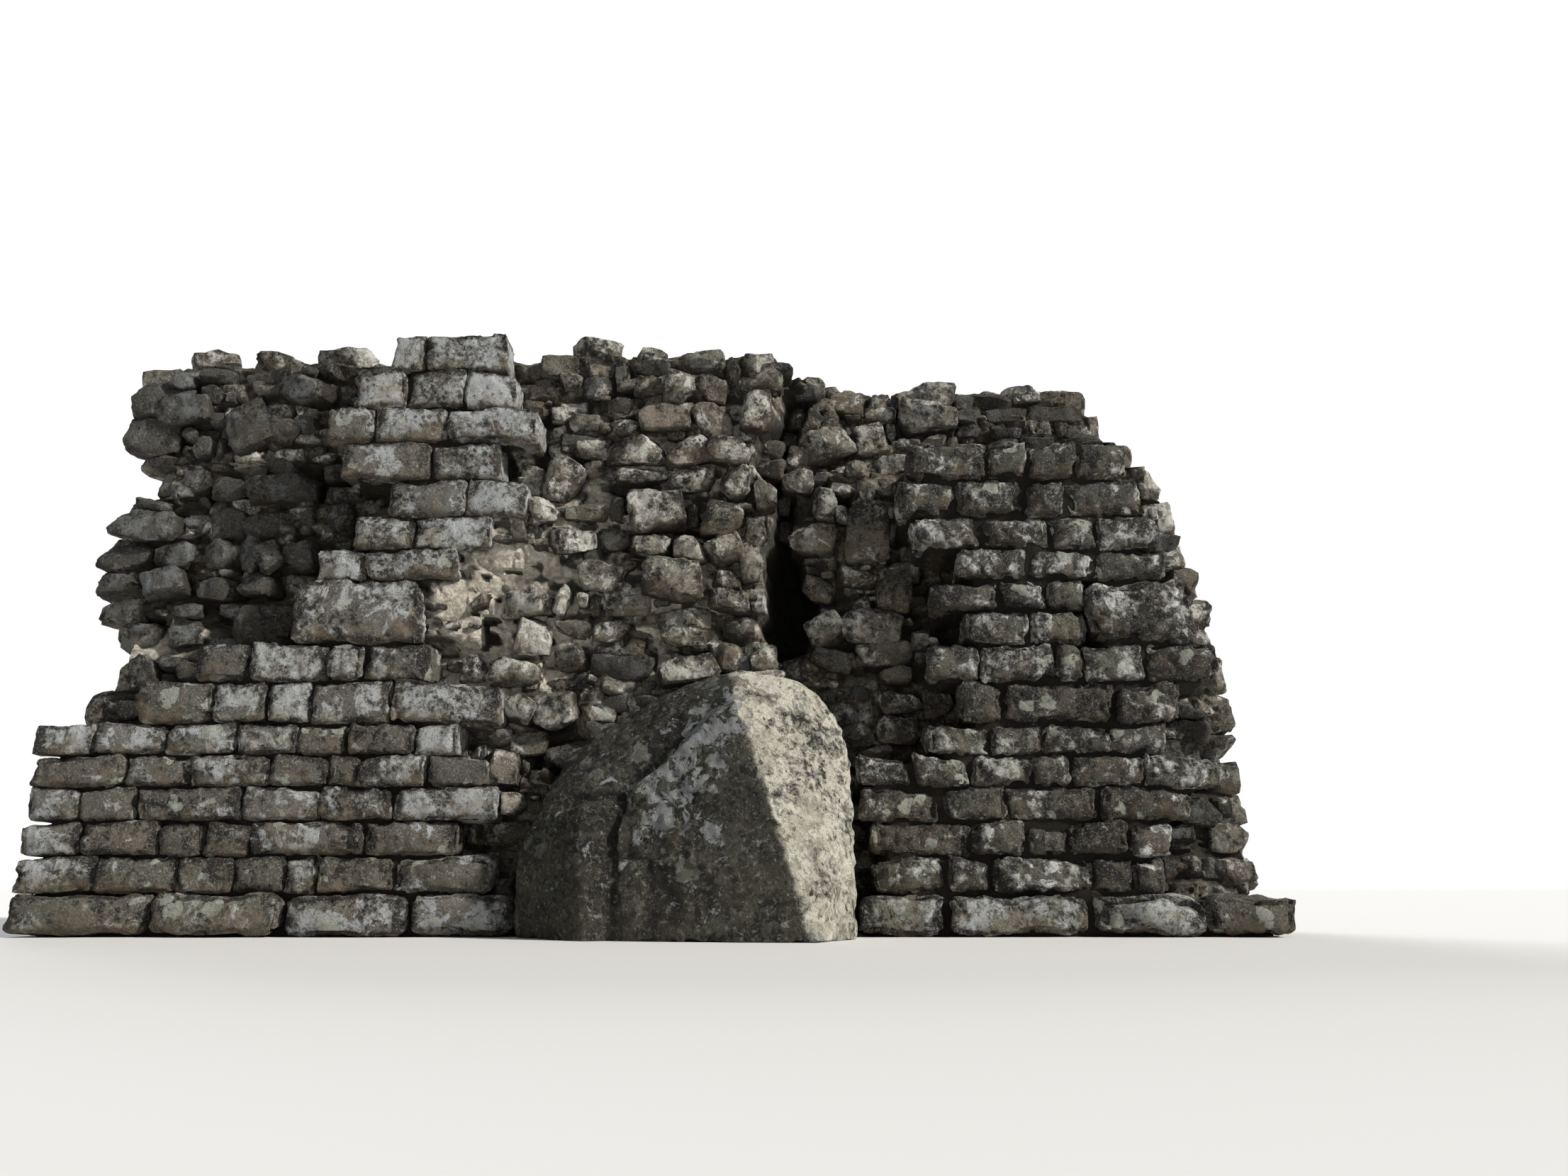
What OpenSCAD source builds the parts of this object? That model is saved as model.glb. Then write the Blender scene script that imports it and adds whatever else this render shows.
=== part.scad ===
// Ruined granite wall, seen from its front.
// The wall has a squared block face laid in courses, a rubble core laid up in lifts, and a rear
// face. The front face is lost in the middle, where the core shows behind a boulder that the
// masons built round. Sizes are in millimetres, x runs along the wall from left to right, y runs
// from the front face to the rear, and the origin is at the middle of the footprint on the ground.

/* [Wall] */
// Length from end to end at the foot
wall_length = 6150; // [5600:50:7200]
// Thickness from the front face to the rear face
wall_thickness = 1200; // [1100:10:1600]
// Depth of the front face blocks, from their face to their tail
face_depth = 280; // [220:5:340]
// Depth of the rear face blocks
rear_depth = 240; // [180:5:300]

/* [Footing] */
// Height of the footing stones
footing_height = 200; // [120:5:300]
// How far the footing stands out in front of the face
footing_step = 60; // [20:5:120]
// Mean length of the footing stones
footing_block = 560; // [400:10:800]

/* [Coursing] */
// Usual height of a course of blocks
course_height = 175; // [160:5:190]
// How much higher or lower each course is than the usual one, from the footing up
course_differences = [0, -10, -10, -20, -20, 35, 20, -5, -15, -15, 0, 30, 20, 20, 35, 30];
// Worn arris along the edges of each block
arris = 20; // [8:1:30]
// How deep the open joint between two blocks is worn
joint_depth = 34; // [15:1:60]
// How much one block may stand out past its neighbours
block_relief = 10; // [0:1:12]
// Shortest block that closes a course at the end of the wall
closer_min = 170; // [120:10:220]
// Mean length of the rear face blocks
rear_block = 430; // [300:10:600]

/* [Core] */
// Mean length of the rubble stones that show in the core
rubble_length = 210; // [140:10:320]
// How far the rubble stones stand out or lie back
rubble_relief = 55; // [10:5:70]
// Chamfer on the rubble corners
rubble_chamfer = 24; // [8:2:40]

/* [Cleft] */
// Where the cleft in the core begins, from the middle of the wall
cleft_left = 560; // [480:10:620]
// Width of the cleft
cleft_width = 210; // [150:10:300]
// Width of the hollow at the foot of the cleft
hollow_width = 380; // [250:10:420]
// How far the cleft reaches into the core, from the back of the face blocks
cleft_depth = 430; // [250:10:520]

/* [Boulder] */
// Width of the boulder at its foot
boulder_width = 1620; // [1300:10:1640]
// Height of the boulder
boulder_height = 1275; // [1000:5:1360]
// How far the boulder stands out in front of the face
boulder_front = 540; // [300:10:800]
// How far the boulder reaches in behind the face
boulder_seat = 500; // [400:10:540]
// Where the middle of the boulder lies, from the middle of the wall
boulder_x = 150; // [130:5:215]

/* [Wall head] */
// Typical height of the loose stones on the wall head
head_stone = 130; // [80:5:180]

/* [Hidden] */
face_y = -wall_thickness / 2;
core_seat = face_y + face_depth;
rear_y = wall_thickness / 2;
rear_seat = rear_y - rear_depth;
wall_end = wall_length / 2;
course_heights = [for (difference = course_differences) course_height + difference];
course_count = len(course_heights);
// Least thickness of core that is left behind the cleft and the ledges
core_left = 130;
// Gap between the boulder and the face blocks on both sides of it
boulder_gap = 15;
// Facets of the rounded knobs whose hull is the boulder
$fn = 14;

// Rows of the front face on the left: first and last course, distance from the wall's middle to
// the inner end, block lengths outward from there, and whether the row runs on to the wall's end
left_rows = [
    [1, 1, 782, [486, 368, 141, 255, 268, 390], true],
    [2, 2, 966, [449, 550, 222, 225, 368], true],
    [3, 3, 784, [504, 354, 378, 512, 278], true],
    [4, 4, 838, [294, 324, 158, 284, 394, 329], true],
    [5, 5, 986, [213, 326, 254, 299, 342, 350], true],
    [6, 6, 787, [541, 398, 222, 269, 377], false],
    [7, 7, 1152, [328, 183, 397, 259], false],
    [8, 9, 1205, [661], false],
    [10, 10, 1049, [468, 256], false],
    [11, 11, 878, [405, 310], false],
    [12, 12, 710, [312, 404], false],
    [13, 13, 856, [362, 474], false],
    [14, 14, 655, [490, 383, 255], false],
    [15, 15, 792, [267, 313, 272], false],
    [16, 16, 851, [433, 181], false]];

// The same for the right, where the great block lies beyond the rows of courses 8 and 9
right_rows = [
    [1, 1, 1041, [351, 218, 506, 184, 167], false],
    [2, 2, 1037, [493, 265, 208, 288, 215], false],
    [3, 3, 988, [397, 320, 445, 461], false],
    [4, 4, 928, [317, 283, 303, 195, 352, 384], false],
    [5, 5, 1320, [318, 257, 335, 283], false],
    [6, 6, 1486, [224, 560, 335], false],
    [7, 7, 1334, [266, 386, 133, 321, 357], false],
    [8, 8, 1517, [336, 307], false],
    [9, 9, 1362, [362, 228, 208], false],
    [10, 10, 1500, [361, 346, 375], false],
    [11, 11, 1277, [348, 363, 234, 335], false],
    [12, 12, 1201, [301, 360, 212, 406], false],
    [13, 13, 1260, [414, 216, 247, 263], false],
    [8, 9, 2160, [557], false]];

// How far the core stops short of the wall's ends, course by course
left_insets = [0, 0, 0, 0, 0, 0, 125, 125, 0, 0, 0, 75, 225, 75, 75, 75];
right_insets = [0, 0, 20, 40, 80, 60, 60, 120, 120, 160, 220, 280, 350, 480, 600, 680];
// How far the bare core lies behind the tails of the face blocks, by place along the wall
bare_setback = [[-3075, 120], [-1900, 60], [-1100, 0], [0, -60], [560, -90], [600, 200],
    [1300, 160], [3075, 100]];
// Courses whose core steps back as ledges on the right, and how far each steps
ledge_from = 14;
ledge_step = 110;
// Courses that the cleft and the hollow run through
cleft_courses = [8, 15];
hollow_courses = [8, 9];
// Courses in each lift of the core and of the rear face
lifts = [[1, 3], [4, 6], [7, 9], [10, 12], [13, 14], [15, 16]];

// Knobs of the boulder: place across, from front to back and up, as parts of its half width, its
// reach and its height, and the radius as a part of the height
boulder_knobs = [
    [0.80, -1.00, 0.02, 0.047],
    [0.68, -0.95, 0.18, 0.039],
    [0.48, -0.68, 0.49, 0.039],
    [0.31, -0.42, 0.85, 0.047],
    [1.00, -0.32, 0.02, 0.063],
    [1.00, -0.16, 0.35, 0.063],
    [0.99, 0.09, 0.67, 0.063],
    [0.90, 0.22, 0.87, 0.063],
    [0.74, 0.09, 0.97, 0.055],
    [0.34, 0.00, 1.00, 0.055],
    [0.07, 0.13, 0.97, 0.055],
    [-0.32, 0.30, 0.86, 0.063],
    [-0.72, 0.17, 0.68, 0.063],
    [-0.81, -0.12, 0.53, 0.063],
    [-0.99, -0.04, 0.31, 0.078],
    [-1.00, 0.00, 0.02, 0.078],
    [-0.53, -0.54, 0.02, 0.078],
    [0.13, -0.85, 0.02, 0.078],
    [-0.25, -0.45, 0.44, 0.078],
    [-0.65, 0.90, 0.39, 0.110],
    [-0.67, 0.97, 0.02, 0.110],
    [0.88, 1.00, 0.57, 0.094],
    [0.88, 1.00, 0.02, 0.094],
    [0.14, 1.00, 0.80, 0.110],
    [0.72, 0.78, 0.84, 0.078]];

// Loose stones on the wall head: place along the wall and across it, length, depth, height as a
// part of the usual one, and turn
head_stone_list = [
    [-2650, -60, 330, 240, 1.0, 20],
    [-2260, -70, 300, 220, 0.9, -15],
    [-1900, -60, 300, 240, 1.3, 8],
    [-430, -180, 260, 230, 1.2, 30],
    [-130, -190, 200, 180, 0.8, -20],
    [160, -160, 280, 240, 0.7, 12],
    [860, 360, 240, 200, 0.8, -12],
    [1480, 380, 280, 200, 1.0, 18],
    [2060, 370, 220, 200, 0.8, 5]];

LEFT_COURSES = [for (row = left_rows) row_name("left", row)];
RIGHT_COURSES = [for (row = right_rows) row_name("right", row)];
CORE_LIFTS = [for (i = [1:len(lifts)]) str("core_lift_", i)];
REAR_LIFTS = [for (i = [1:len(lifts)]) str("rear_lift_", i)];

// Name of a row, which is a course or the great block that spans two
function row_name(side, row) =
    row[0] != row[1] ? str(side, "_great_block")
    : str(side, "_course_", row[0] < 10 ? "0" : "", row[0]);

// Number from 0 to 1 that is scattered but the same each time for the same seed
function scatter(seed) =
    let (v = sin(seed * 78.233 + 12.9898) * 43758.5453)
    v - floor(v);

// Height at which a course begins, with courses counted from 1
function bed(course) = course <= 1 ? footing_height : bed(course - 1) + course_heights[course - 2];

// Distance from the wall's middle at which blocks are clear of the boulder on one side
function clear_of_boulder(side) = side * boulder_x + boulder_width / 2 + boulder_gap;

// Distance from the wall's middle to the end of the core at a course
function core_end(side, course) =
    wall_end - (side < 0 ? left_insets[course - 1] : right_insets[course - 1]);

// Joints of a row as distances from the middle, from an inner end to the last block's end. A block
// that would leave less than the shortest closer is drawn on to the core's end instead.
function laid(from, lengths, reach, runs_on, i = 0) =
    !runs_on && i == len(lengths) ? [from]
    : from + lengths[i % len(lengths)] > reach - closer_min ? [from, reach]
    : concat([from], laid(from + lengths[i % len(lengths)], lengths, reach, runs_on, i + 1));

// Joints of one row of the front face. Where the boulder is in the way, the first block is cut to
// fit against it.
function row_joints(side, row) =
    let (joints = laid(row[2], row[3], core_end(side, row[1]), row[4]),
        beside = bed(row[0]) < boulder_height * 0.9)
    [for (i = [0:len(joints) - 1])
        i == 0 && beside ? max(joints[0], clear_of_boulder(side)) : joints[i]];

// Innermost and outermost joint of all rows on one side at a course, or nothing above the last row
function covered(side, course) =
    let (rows = side < 0 ? left_rows : right_rows,
        here = [for (row = rows) if (row[0] <= course && course <= row[1]) row_joints(side, row)])
    len(here) == 0 ? undef
    : [min([for (j = here) j[0]]), max([for (j = here) j[len(j) - 1]])];

// Outline of a row of blocks between joints along x. Each block has its own front, its corners are
// worn by the chamfer, and a notch marks each joint. The sign is -1 for a row that fronts -y.
function block_front(joints, fronts, chamfer, notch, sign = -1) =
    let (last = len(joints) - 2, d = joints[1] > joints[0] ? chamfer : -chamfer)
    [for (i = [0:last])
        each concat(
            i == 0 ? [[joints[0], fronts[0] - sign * chamfer]] : [],
            [[joints[i] + d, fronts[i]], [joints[i + 1] - d, fronts[i]]],
            i == last ? [[joints[i + 1], fronts[i] - sign * chamfer]]
                : [[joints[i + 1], (fronts[i] + fronts[i + 1]) / 2 - sign * notch]])];

// Joints of a row of about equal blocks between two places along x
function even_joints(from, to, mean, seed) =
    let (n = max(1, round((to - from) / mean)), pitch = (to - from) / n)
    [for (i = [0:n])
        i == 0 ? from : i == n ? to : from + pitch * (i + 0.44 * (scatter(seed + 3 * i) - 0.5))];

// Front of the bare core at a place along the wall, before the relief of its stones
function bare_front(x, course) =
    let (ledge = course >= ledge_from && x > cleft_left ? (course - ledge_from + 1) * ledge_step : 0)
    min(core_seat + lookup(x, bare_setback) + ledge, rear_seat - core_left - rubble_relief);

// Front outline of a stretch of bare core, stone by stone
function bare_stretch(from, to, course) =
    to - from < 3 * rubble_chamfer ? [[from, core_seat], [to, core_seat]]
    : let (seed = course * 37 + floor(from / 100),
        joints = even_joints(from, to, rubble_length, seed),
        fronts = [for (i = [0:len(joints) - 2])
            bare_front((joints[i] + joints[i + 1]) / 2, course)
                + rubble_relief * (2 * scatter(seed + 11 * i) - 1)])
    block_front(joints, fronts, rubble_chamfer, rubble_chamfer);

// Cleft in the bare core at a course: its two sides, or nothing where it doesn't reach
function cleft_at(course) =
    let (middle = cleft_left + cleft_width / 2,
        hollow = hollow_courses[0] <= course && course <= hollow_courses[1],
        width = hollow ? hollow_width : cleft_width)
    cleft_courses[0] <= course && course <= cleft_courses[1]
        ? [middle - width / 2, middle + width / 2] : undef;

// Front outline of the bare core between two places, with the cleft where there is one
function bare_middle(from, to, course) =
    let (cleft = cleft_at(course),
        floor_y = min(core_seat + cleft_depth, rear_seat - core_left))
    is_undef(cleft) || cleft[1] > to - rubble_length / 2 ? bare_stretch(from, to, course)
    : concat(bare_stretch(from, cleft[0], course),
        [[cleft[0], floor_y], [cleft[1], floor_y]],
        bare_stretch(cleft[1], to, course));

// Outline of the core in plan at a course. It lies flat behind the face blocks and is bare between
// and beyond them, and its ends are ragged.
function core_outline(course) =
    let (left = covered(-1, course), right = covered(1, course),
        from = -core_end(-1, course), to = core_end(1, course),
        ragged = 0.5 * rubble_relief,
        left_mid = (bare_front(from, course) + rear_seat) / 2,
        right_mid = (bare_front(to, course) + rear_seat) / 2,
        middle_from = is_undef(left) ? from : -left[0],
        middle_to = is_undef(right) ? to : right[0])
    concat(
        is_undef(left) ? []
            : left[1] > -from - 1 ? [[from, core_seat], [-left[0], core_seat]]
            : concat(bare_stretch(from, -left[1], course),
                [[-left[1], core_seat], [-left[0], core_seat]]),
        bare_middle(middle_from, middle_to, course),
        is_undef(right) ? []
            : right[1] > to - 1 ? [[right[0], core_seat], [to, core_seat]]
            : concat([[right[0], core_seat], [right[1], core_seat]],
                bare_stretch(right[1], to, course)),
        [[to - ragged * scatter(course), right_mid], [to, rear_seat], [from, rear_seat],
            [from + ragged * scatter(course + 40), left_mid]]);

// Band between two heights whose edges are worn on one face of the wall. It trims a row of blocks.
module worn_band(z0, z1, face, seat) {
    inward = face < seat ? arris : -arris;
    translate([-wall_length, 0, 0])
        rotate([90, 0, 90])
            linear_extrude(2 * wall_length)
                polygon([[seat, z0], [face + inward, z0], [face, z0 + arris], [face, z1 - arris],
                    [face + inward, z1], [seat, z1]]);
}

// One row of blocks from its seat on the core out to its worn face
module block_row(joints, z0, z1, face, seat, seed, relief) {
    sign = face < seat ? -1 : 1;
    last = len(joints) - 1;
    fronts = [for (i = [0:last - 1]) face - sign * relief * scatter(seed + 7 * i)];
    intersection() {
        translate([0, 0, z0])
            linear_extrude(z1 - z0)
                polygon(concat([[joints[0], seat]],
                    block_front(joints, fronts, arris, joint_depth, sign),
                    [[joints[last], seat]]));
        worn_band(z0, z1, face, seat);
    }
}

module face_row(side, row) {
    color([0.62, 0.60, 0.56])
        block_row([for (j = row_joints(side, row)) side * j], bed(row[0]), bed(row[1] + 1), face_y,
            core_seat, 50 * row[0] + 9 * side, block_relief);
}

// Large rough stones under the face, from the boulder out to the wall's end
module footing(side) {
    joints = even_joints(clear_of_boulder(side), wall_end, footing_block, 5 + side);
    color([0.52, 0.49, 0.44])
        block_row([for (j = joints) side * j], 0, footing_height, face_y - footing_step, core_seat,
            70 + side, 3 * block_relief);
}

// Boulder that the wall is built round, flat where it stands on the ground
module boulder_solid() {
    difference() {
        hull()
            for (knob = boulder_knobs) {
                r = knob[3] * boulder_height;
                reach = knob[1] < 0 ? boulder_front : boulder_seat;
                translate([boulder_x + knob[0] * (boulder_width / 2 - r),
                    face_y + knob[1] * (reach - r), knob[2] * (boulder_height - r)])
                    sphere(r);
            }
        translate([-wall_length, -wall_length, -boulder_height])
            cube([2 * wall_length, 2 * wall_length, boulder_height]);
    }
}

module built_in_boulder() {
    color([0.60, 0.58, 0.53])
        boulder_solid();
}

// Rubble and mortar heart of the wall, one lift of courses high
module core_lift(index) {
    span = lifts[index];
    color([0.66, 0.60, 0.48])
        difference() {
            union() {
                if (index == 0)
                    translate([-wall_end, core_seat])
                        cube([wall_length, rear_seat - core_seat, footing_height]);
                for (course = [span[0]:span[1]])
                    translate([0, 0, bed(course)])
                        linear_extrude(course_heights[course - 1])
                            polygon(core_outline(course));
            }
            if (bed(span[0]) < boulder_height)
                boulder_solid();
        }
}

// Rear face, one lift of courses high
module rear_lift(index) {
    span = lifts[index];
    color([0.58, 0.55, 0.50])
        for (course = [index == 0 ? 0 : span[0]:span[1]]) {
            at = max(course, 1);
            z0 = course == 0 ? 0 : bed(course);
            joints = even_joints(-core_end(-1, at), core_end(1, at), rear_block, 17 * course);
            block_row(joints, z0, course == 0 ? footing_height : bed(course + 1), rear_y, rear_seat,
                31 * course, block_relief);
        }
}

// Loose stone with worn corners
module loose_stone(length, depth, height, seed) {
    corners = 7;
    linear_extrude(height)
        polygon([for (i = [0:corners - 1])
            let (reach = 0.82 + 0.18 * scatter(seed + i), a = 360 * (i + 0.4 * scatter(seed - i)) / corners)
            [length / 2 * reach * cos(a), depth / 2 * reach * sin(a)]]);
}

module head_stones() {
    color([0.63, 0.61, 0.57])
        for (i = [0:len(head_stone_list) - 1]) {
            s = head_stone_list[i];
            translate([s[0], s[1], bed(course_count + 1)])
                rotate(s[5])
                    loose_stone(s[2], s[3], s[4] * head_stone, 13 * i);
        }
}

for (i = [0:len(left_rows) - 1])
    face_row(-1, left_rows[i]);
for (i = [0:len(right_rows) - 1])
    face_row(1, right_rows[i]);
for (i = [0:len(lifts) - 1])
    core_lift(i);
for (i = [0:len(lifts) - 1])
    rear_lift(i);
footing(-1);  // footing_left
footing(1);  // footing_right
built_in_boulder();
head_stones();
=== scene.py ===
import math
import bpy
import numpy as np
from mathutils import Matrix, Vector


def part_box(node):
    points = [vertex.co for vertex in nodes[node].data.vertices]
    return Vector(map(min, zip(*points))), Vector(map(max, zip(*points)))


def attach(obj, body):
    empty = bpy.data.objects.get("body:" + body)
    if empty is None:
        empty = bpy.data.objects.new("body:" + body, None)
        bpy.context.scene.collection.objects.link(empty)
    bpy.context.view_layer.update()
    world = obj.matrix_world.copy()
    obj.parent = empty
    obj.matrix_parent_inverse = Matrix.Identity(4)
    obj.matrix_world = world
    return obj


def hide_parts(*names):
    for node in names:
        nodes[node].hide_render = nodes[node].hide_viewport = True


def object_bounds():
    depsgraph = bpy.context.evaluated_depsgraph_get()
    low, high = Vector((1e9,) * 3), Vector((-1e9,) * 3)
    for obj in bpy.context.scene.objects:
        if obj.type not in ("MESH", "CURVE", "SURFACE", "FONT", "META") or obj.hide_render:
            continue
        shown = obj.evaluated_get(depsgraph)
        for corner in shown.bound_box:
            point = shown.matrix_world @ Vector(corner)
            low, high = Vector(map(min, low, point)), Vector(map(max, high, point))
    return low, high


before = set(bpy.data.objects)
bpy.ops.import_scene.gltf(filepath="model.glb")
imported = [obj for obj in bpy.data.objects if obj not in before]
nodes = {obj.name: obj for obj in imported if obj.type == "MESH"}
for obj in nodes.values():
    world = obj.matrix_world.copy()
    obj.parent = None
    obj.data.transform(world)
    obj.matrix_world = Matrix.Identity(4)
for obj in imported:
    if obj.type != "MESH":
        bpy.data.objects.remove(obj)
cadBox = [list(corner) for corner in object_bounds()]
print("frame loaded:", len(nodes), "nodes")

# Places that every piece shares, in metres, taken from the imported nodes
wall = {
    "faceY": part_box("left_course_01")[0].y,      # most forward block of the front face
    "coreSeat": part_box("left_course_01")[1].y,   # back of the face blocks
    "rearSeat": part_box("rear_lift_1")[0].y,      # back of the rear blocks
    "rearY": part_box("rear_lift_1")[1].y,         # rear face
    "end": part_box("rear_lift_1")[1].x,           # right end; the left end is its mirror image
}
footings = ["footing_left", "footing_right"]
leftFace = sorted(n for n in nodes if n.startswith("left_"))
rightFace = sorted(n for n in nodes if n.startswith("right_"))
coreLifts = sorted(n for n in nodes if n.startswith("core_lift"))
rearLifts = sorted(n for n in nodes if n.startswith("rear_lift"))


# Noise


scatter = (374761393, 668265263, 1442695041, 1274126177)   # large odd numbers
allBits = 0xFFFFFFFF


def latticeValue(ix, iy, iz, seed):
    # whole numbers are multiplied, folded and masked into a scattered value from 0 to 1
    h = sum(number * factor for number, factor in zip((ix, iy, iz, seed), scatter)) & allBits
    h = ((h ^ (h >> 13)) * scatter[3]) & allBits
    return ((h ^ (h >> 16)) & 0xFFFFFF) / 0xFFFFFF


def softNoise(points, size, seed):
    # values at the eight corners of a lattice cell, blended with 3f^2 - 2f^3, from -1 to 1
    q = points / size
    base = np.floor(q).astype(np.int64)
    f = q - base
    f = f * f * (3 - 2 * f)
    total = 0
    for dx in (0, 1):
        for dy in (0, 1):
            for dz in (0, 1):
                weight = abs(1 - dx - f[:, 0]) * abs(1 - dy - f[:, 1]) * abs(1 - dz - f[:, 2])
                total = total + weight * latticeValue(base[:, 0] + dx, base[:, 1] + dy,
                                                      base[:, 2] + dz, seed)
    return total * 2 - 1


def layeredNoise(points, size, seed, layers=3):
    # soft noise added to itself at half the size and half the strength
    return sum(softNoise(points, size / 2 ** i, seed + i) / 2 ** i for i in range(layers)) / 1.6


def ease(value, low, high):
    # 0 below low, 1 above high, and a smooth step between them
    t = np.clip((value - low) / (high - low), 0, 1)
    return t * t * (3 - 2 * t)


def at(shape, *place):
    # what a function of whole arrays gives at one place
    return float(shape(*(np.array([value]) for value in place))[0])


# Meshes


def ringQuads(rings, around):
    # quads between neighbouring rings of a closed band, as rows of four vertex numbers
    i, j = np.meshgrid(np.arange(rings - 1), np.arange(around), indexing="ij")
    k = (j + 1) % around
    return np.stack([i * around + j, i * around + k, (i + 1) * around + k, (i + 1) * around + j],
                    axis=-1).reshape(-1, 4)


def poleFans(rings, around):
    # triangles that close the first and the last ring on a pole vertex each
    j = np.arange(around)
    k = (j + 1) % around
    first = np.stack([np.zeros(around, int), k + 1, j + 1], axis=-1)
    start = 1 + (rings - 1) * around
    last = np.stack([np.full(around, 1 + rings * around), start + j, start + k], axis=-1)
    return np.concatenate([first, last])


boxMargin = 0.0005                     # how far inside the CAD box the pieces stay
creaseAngle = math.radians(33)         # facets that meet at a larger angle have a crisp edge


def makePiece(name, shape, material, replaced=()):
    # A shape is points, quads, triangles and named arrays. The arrays go into the mesh whole, and
    # each named one becomes an attribute of the points.
    verts, quads, tris, facts = shape
    verts = np.clip(verts, np.array(cadBox[0]) + boxMargin, np.array(cadBox[1]) - boxMargin)
    mesh = bpy.data.meshes.new(name)
    mesh.vertices.add(len(verts))
    mesh.vertices.foreach_set("co", np.ascontiguousarray(verts, np.float32).ravel())
    mesh.loops.add(quads.size + tris.size)
    mesh.loops.foreach_set("vertex_index", np.concatenate([quads.ravel(), tris.ravel()]))
    mesh.polygons.add(len(quads) + len(tris))
    starts = np.concatenate([np.arange(len(quads)) * 4, quads.size + np.arange(len(tris)) * 3])
    mesh.polygons.foreach_set("loop_start", starts)
    mesh.update(calc_edges=True)
    mesh.polygons.foreach_set("use_smooth", np.ones(len(mesh.polygons), bool))
    mesh.set_sharp_from_angle(angle=creaseAngle)
    for key, values in facts.items():
        mesh.attributes.new(key, "FLOAT", "POINT").data.foreach_set(
            "value", np.ascontiguousarray(values, np.float32))
    piece = bpy.data.objects.new(name, mesh)
    bpy.context.scene.collection.objects.link(piece)
    piece.data.materials.append(material)
    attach(piece, "root")
    if replaced:
        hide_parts(*replaced)
    print(name, "made with", 2 * len(quads) + len(tris), "triangles")


# Stones


def edgeSteps(count):
    # places from -1 to 1 that crowd towards both ends: half straight line, half sine
    t = np.linspace(-1, 1, count + 1)
    return 0.5 * t + 0.5 * np.sin(t * math.pi / 2)


def boxLattice(alongX, alongY, alongZ, capRings):
    # Lattice over a box from -1 to 1: a square ring round the x axis is carried along it, and at
    # both ends it is drawn in to a pole. Returns points, quads and triangles.
    y, z = edgeSteps(alongY), edgeSteps(alongZ)
    back = max(2, alongZ // 4)
    ring = np.concatenate([
        np.stack([np.full(alongZ, -1.0), -z[:-1]], 1),
        np.stack([y[:-1], np.full(alongY, -1.0)], 1),
        np.stack([np.full(back, 1.0), np.linspace(-1, 1, back + 1)[:-1]], 1),
        np.stack([-y[:-1], np.full(alongY, 1.0)], 1)])
    shrink = np.sin(np.linspace(0, math.pi / 2, capRings + 1))[1:-1]
    places = np.concatenate([np.full(len(shrink), -1.0), edgeSteps(alongX), np.full(len(shrink), 1.0)])
    scales = np.concatenate([shrink, np.ones(alongX + 1), shrink[::-1]])
    rings = np.concatenate([
        np.broadcast_to(places[:, None, None], (len(places), len(ring), 1)),
        ring[None] * scales[:, None, None]], axis=2).reshape(-1, 3)
    points = np.concatenate([[[-1, 0, 0]], rings, [[1, 0, 0]]])
    return points, ringQuads(len(places), len(ring)) + 1, poleFans(len(places), len(ring))


def stepsOver(half, spacing, least, most):
    # how many lattice steps of about this spacing go over twice the half size
    return int(np.clip(round(2 * half / spacing), least, most))


class StoneHeap:
    # gathers the lattices of many stones and joins them into one set of arrays

    def __init__(self):
        self.count, self.size, self.parts = 0, 0, {}

    def add(self, middle, half, steps, turn, rough, tone, warm):
        # one stone's lattice, with the stone's own values repeated at each of its points
        unit, quads, tris = boxLattice(*steps)
        n = len(unit)
        row = {"unit": unit, "quads": quads + self.size, "tris": tris + self.size,
               "half": np.tile(half, (n, 1)), "middle": np.tile(middle, (n, 1)),
               "turn": np.tile(turn, (n, 1)), "ident": np.full(n, self.count),
               "rough": np.full(n, rough), "tone": np.full(n, tone), "warm": np.full(n, warm)}
        for key, value in row.items():
            self.parts.setdefault(key, []).append(value)
        self.count += 1
        self.size += n

    def arrays(self):
        # the lattices of all the stones, end to end
        return {key: np.concatenate(value) for key, value in self.parts.items()}


def turned(points, turn):
    # each point is rolled about y, then pitched about x, then turned about z
    out = points
    for axis, (i, j) in ((1, (0, 2)), (0, (1, 2)), (2, (0, 1))):
        c, s = np.cos(turn[:, axis]), np.sin(turn[:, axis])
        out = out.copy()
        out[:, i], out[:, j] = c * out[:, i] - s * out[:, j], s * out[:, i] + c * out[:, j]
    return out


def openSides(verts, unit, spans):
    # 1 where a block's side, top or foot has no neighbour: no row reaches so far beyond it
    gap, rim = 0.04, 0.93
    step = gap * np.sign(unit) * (np.abs(unit) > rim)
    x, z = verts[:, 0] + step[:, 0], verts[:, 2] + step[:, 2]
    free = (np.abs(step[:, [0, 2]]).sum(1) > 0).astype(float)
    for x0, x1, z0, z1 in spans:
        free *= 1 - ((x > x0) & (x < x1) & (z > z0) & (z < z1))
    return free


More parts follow.
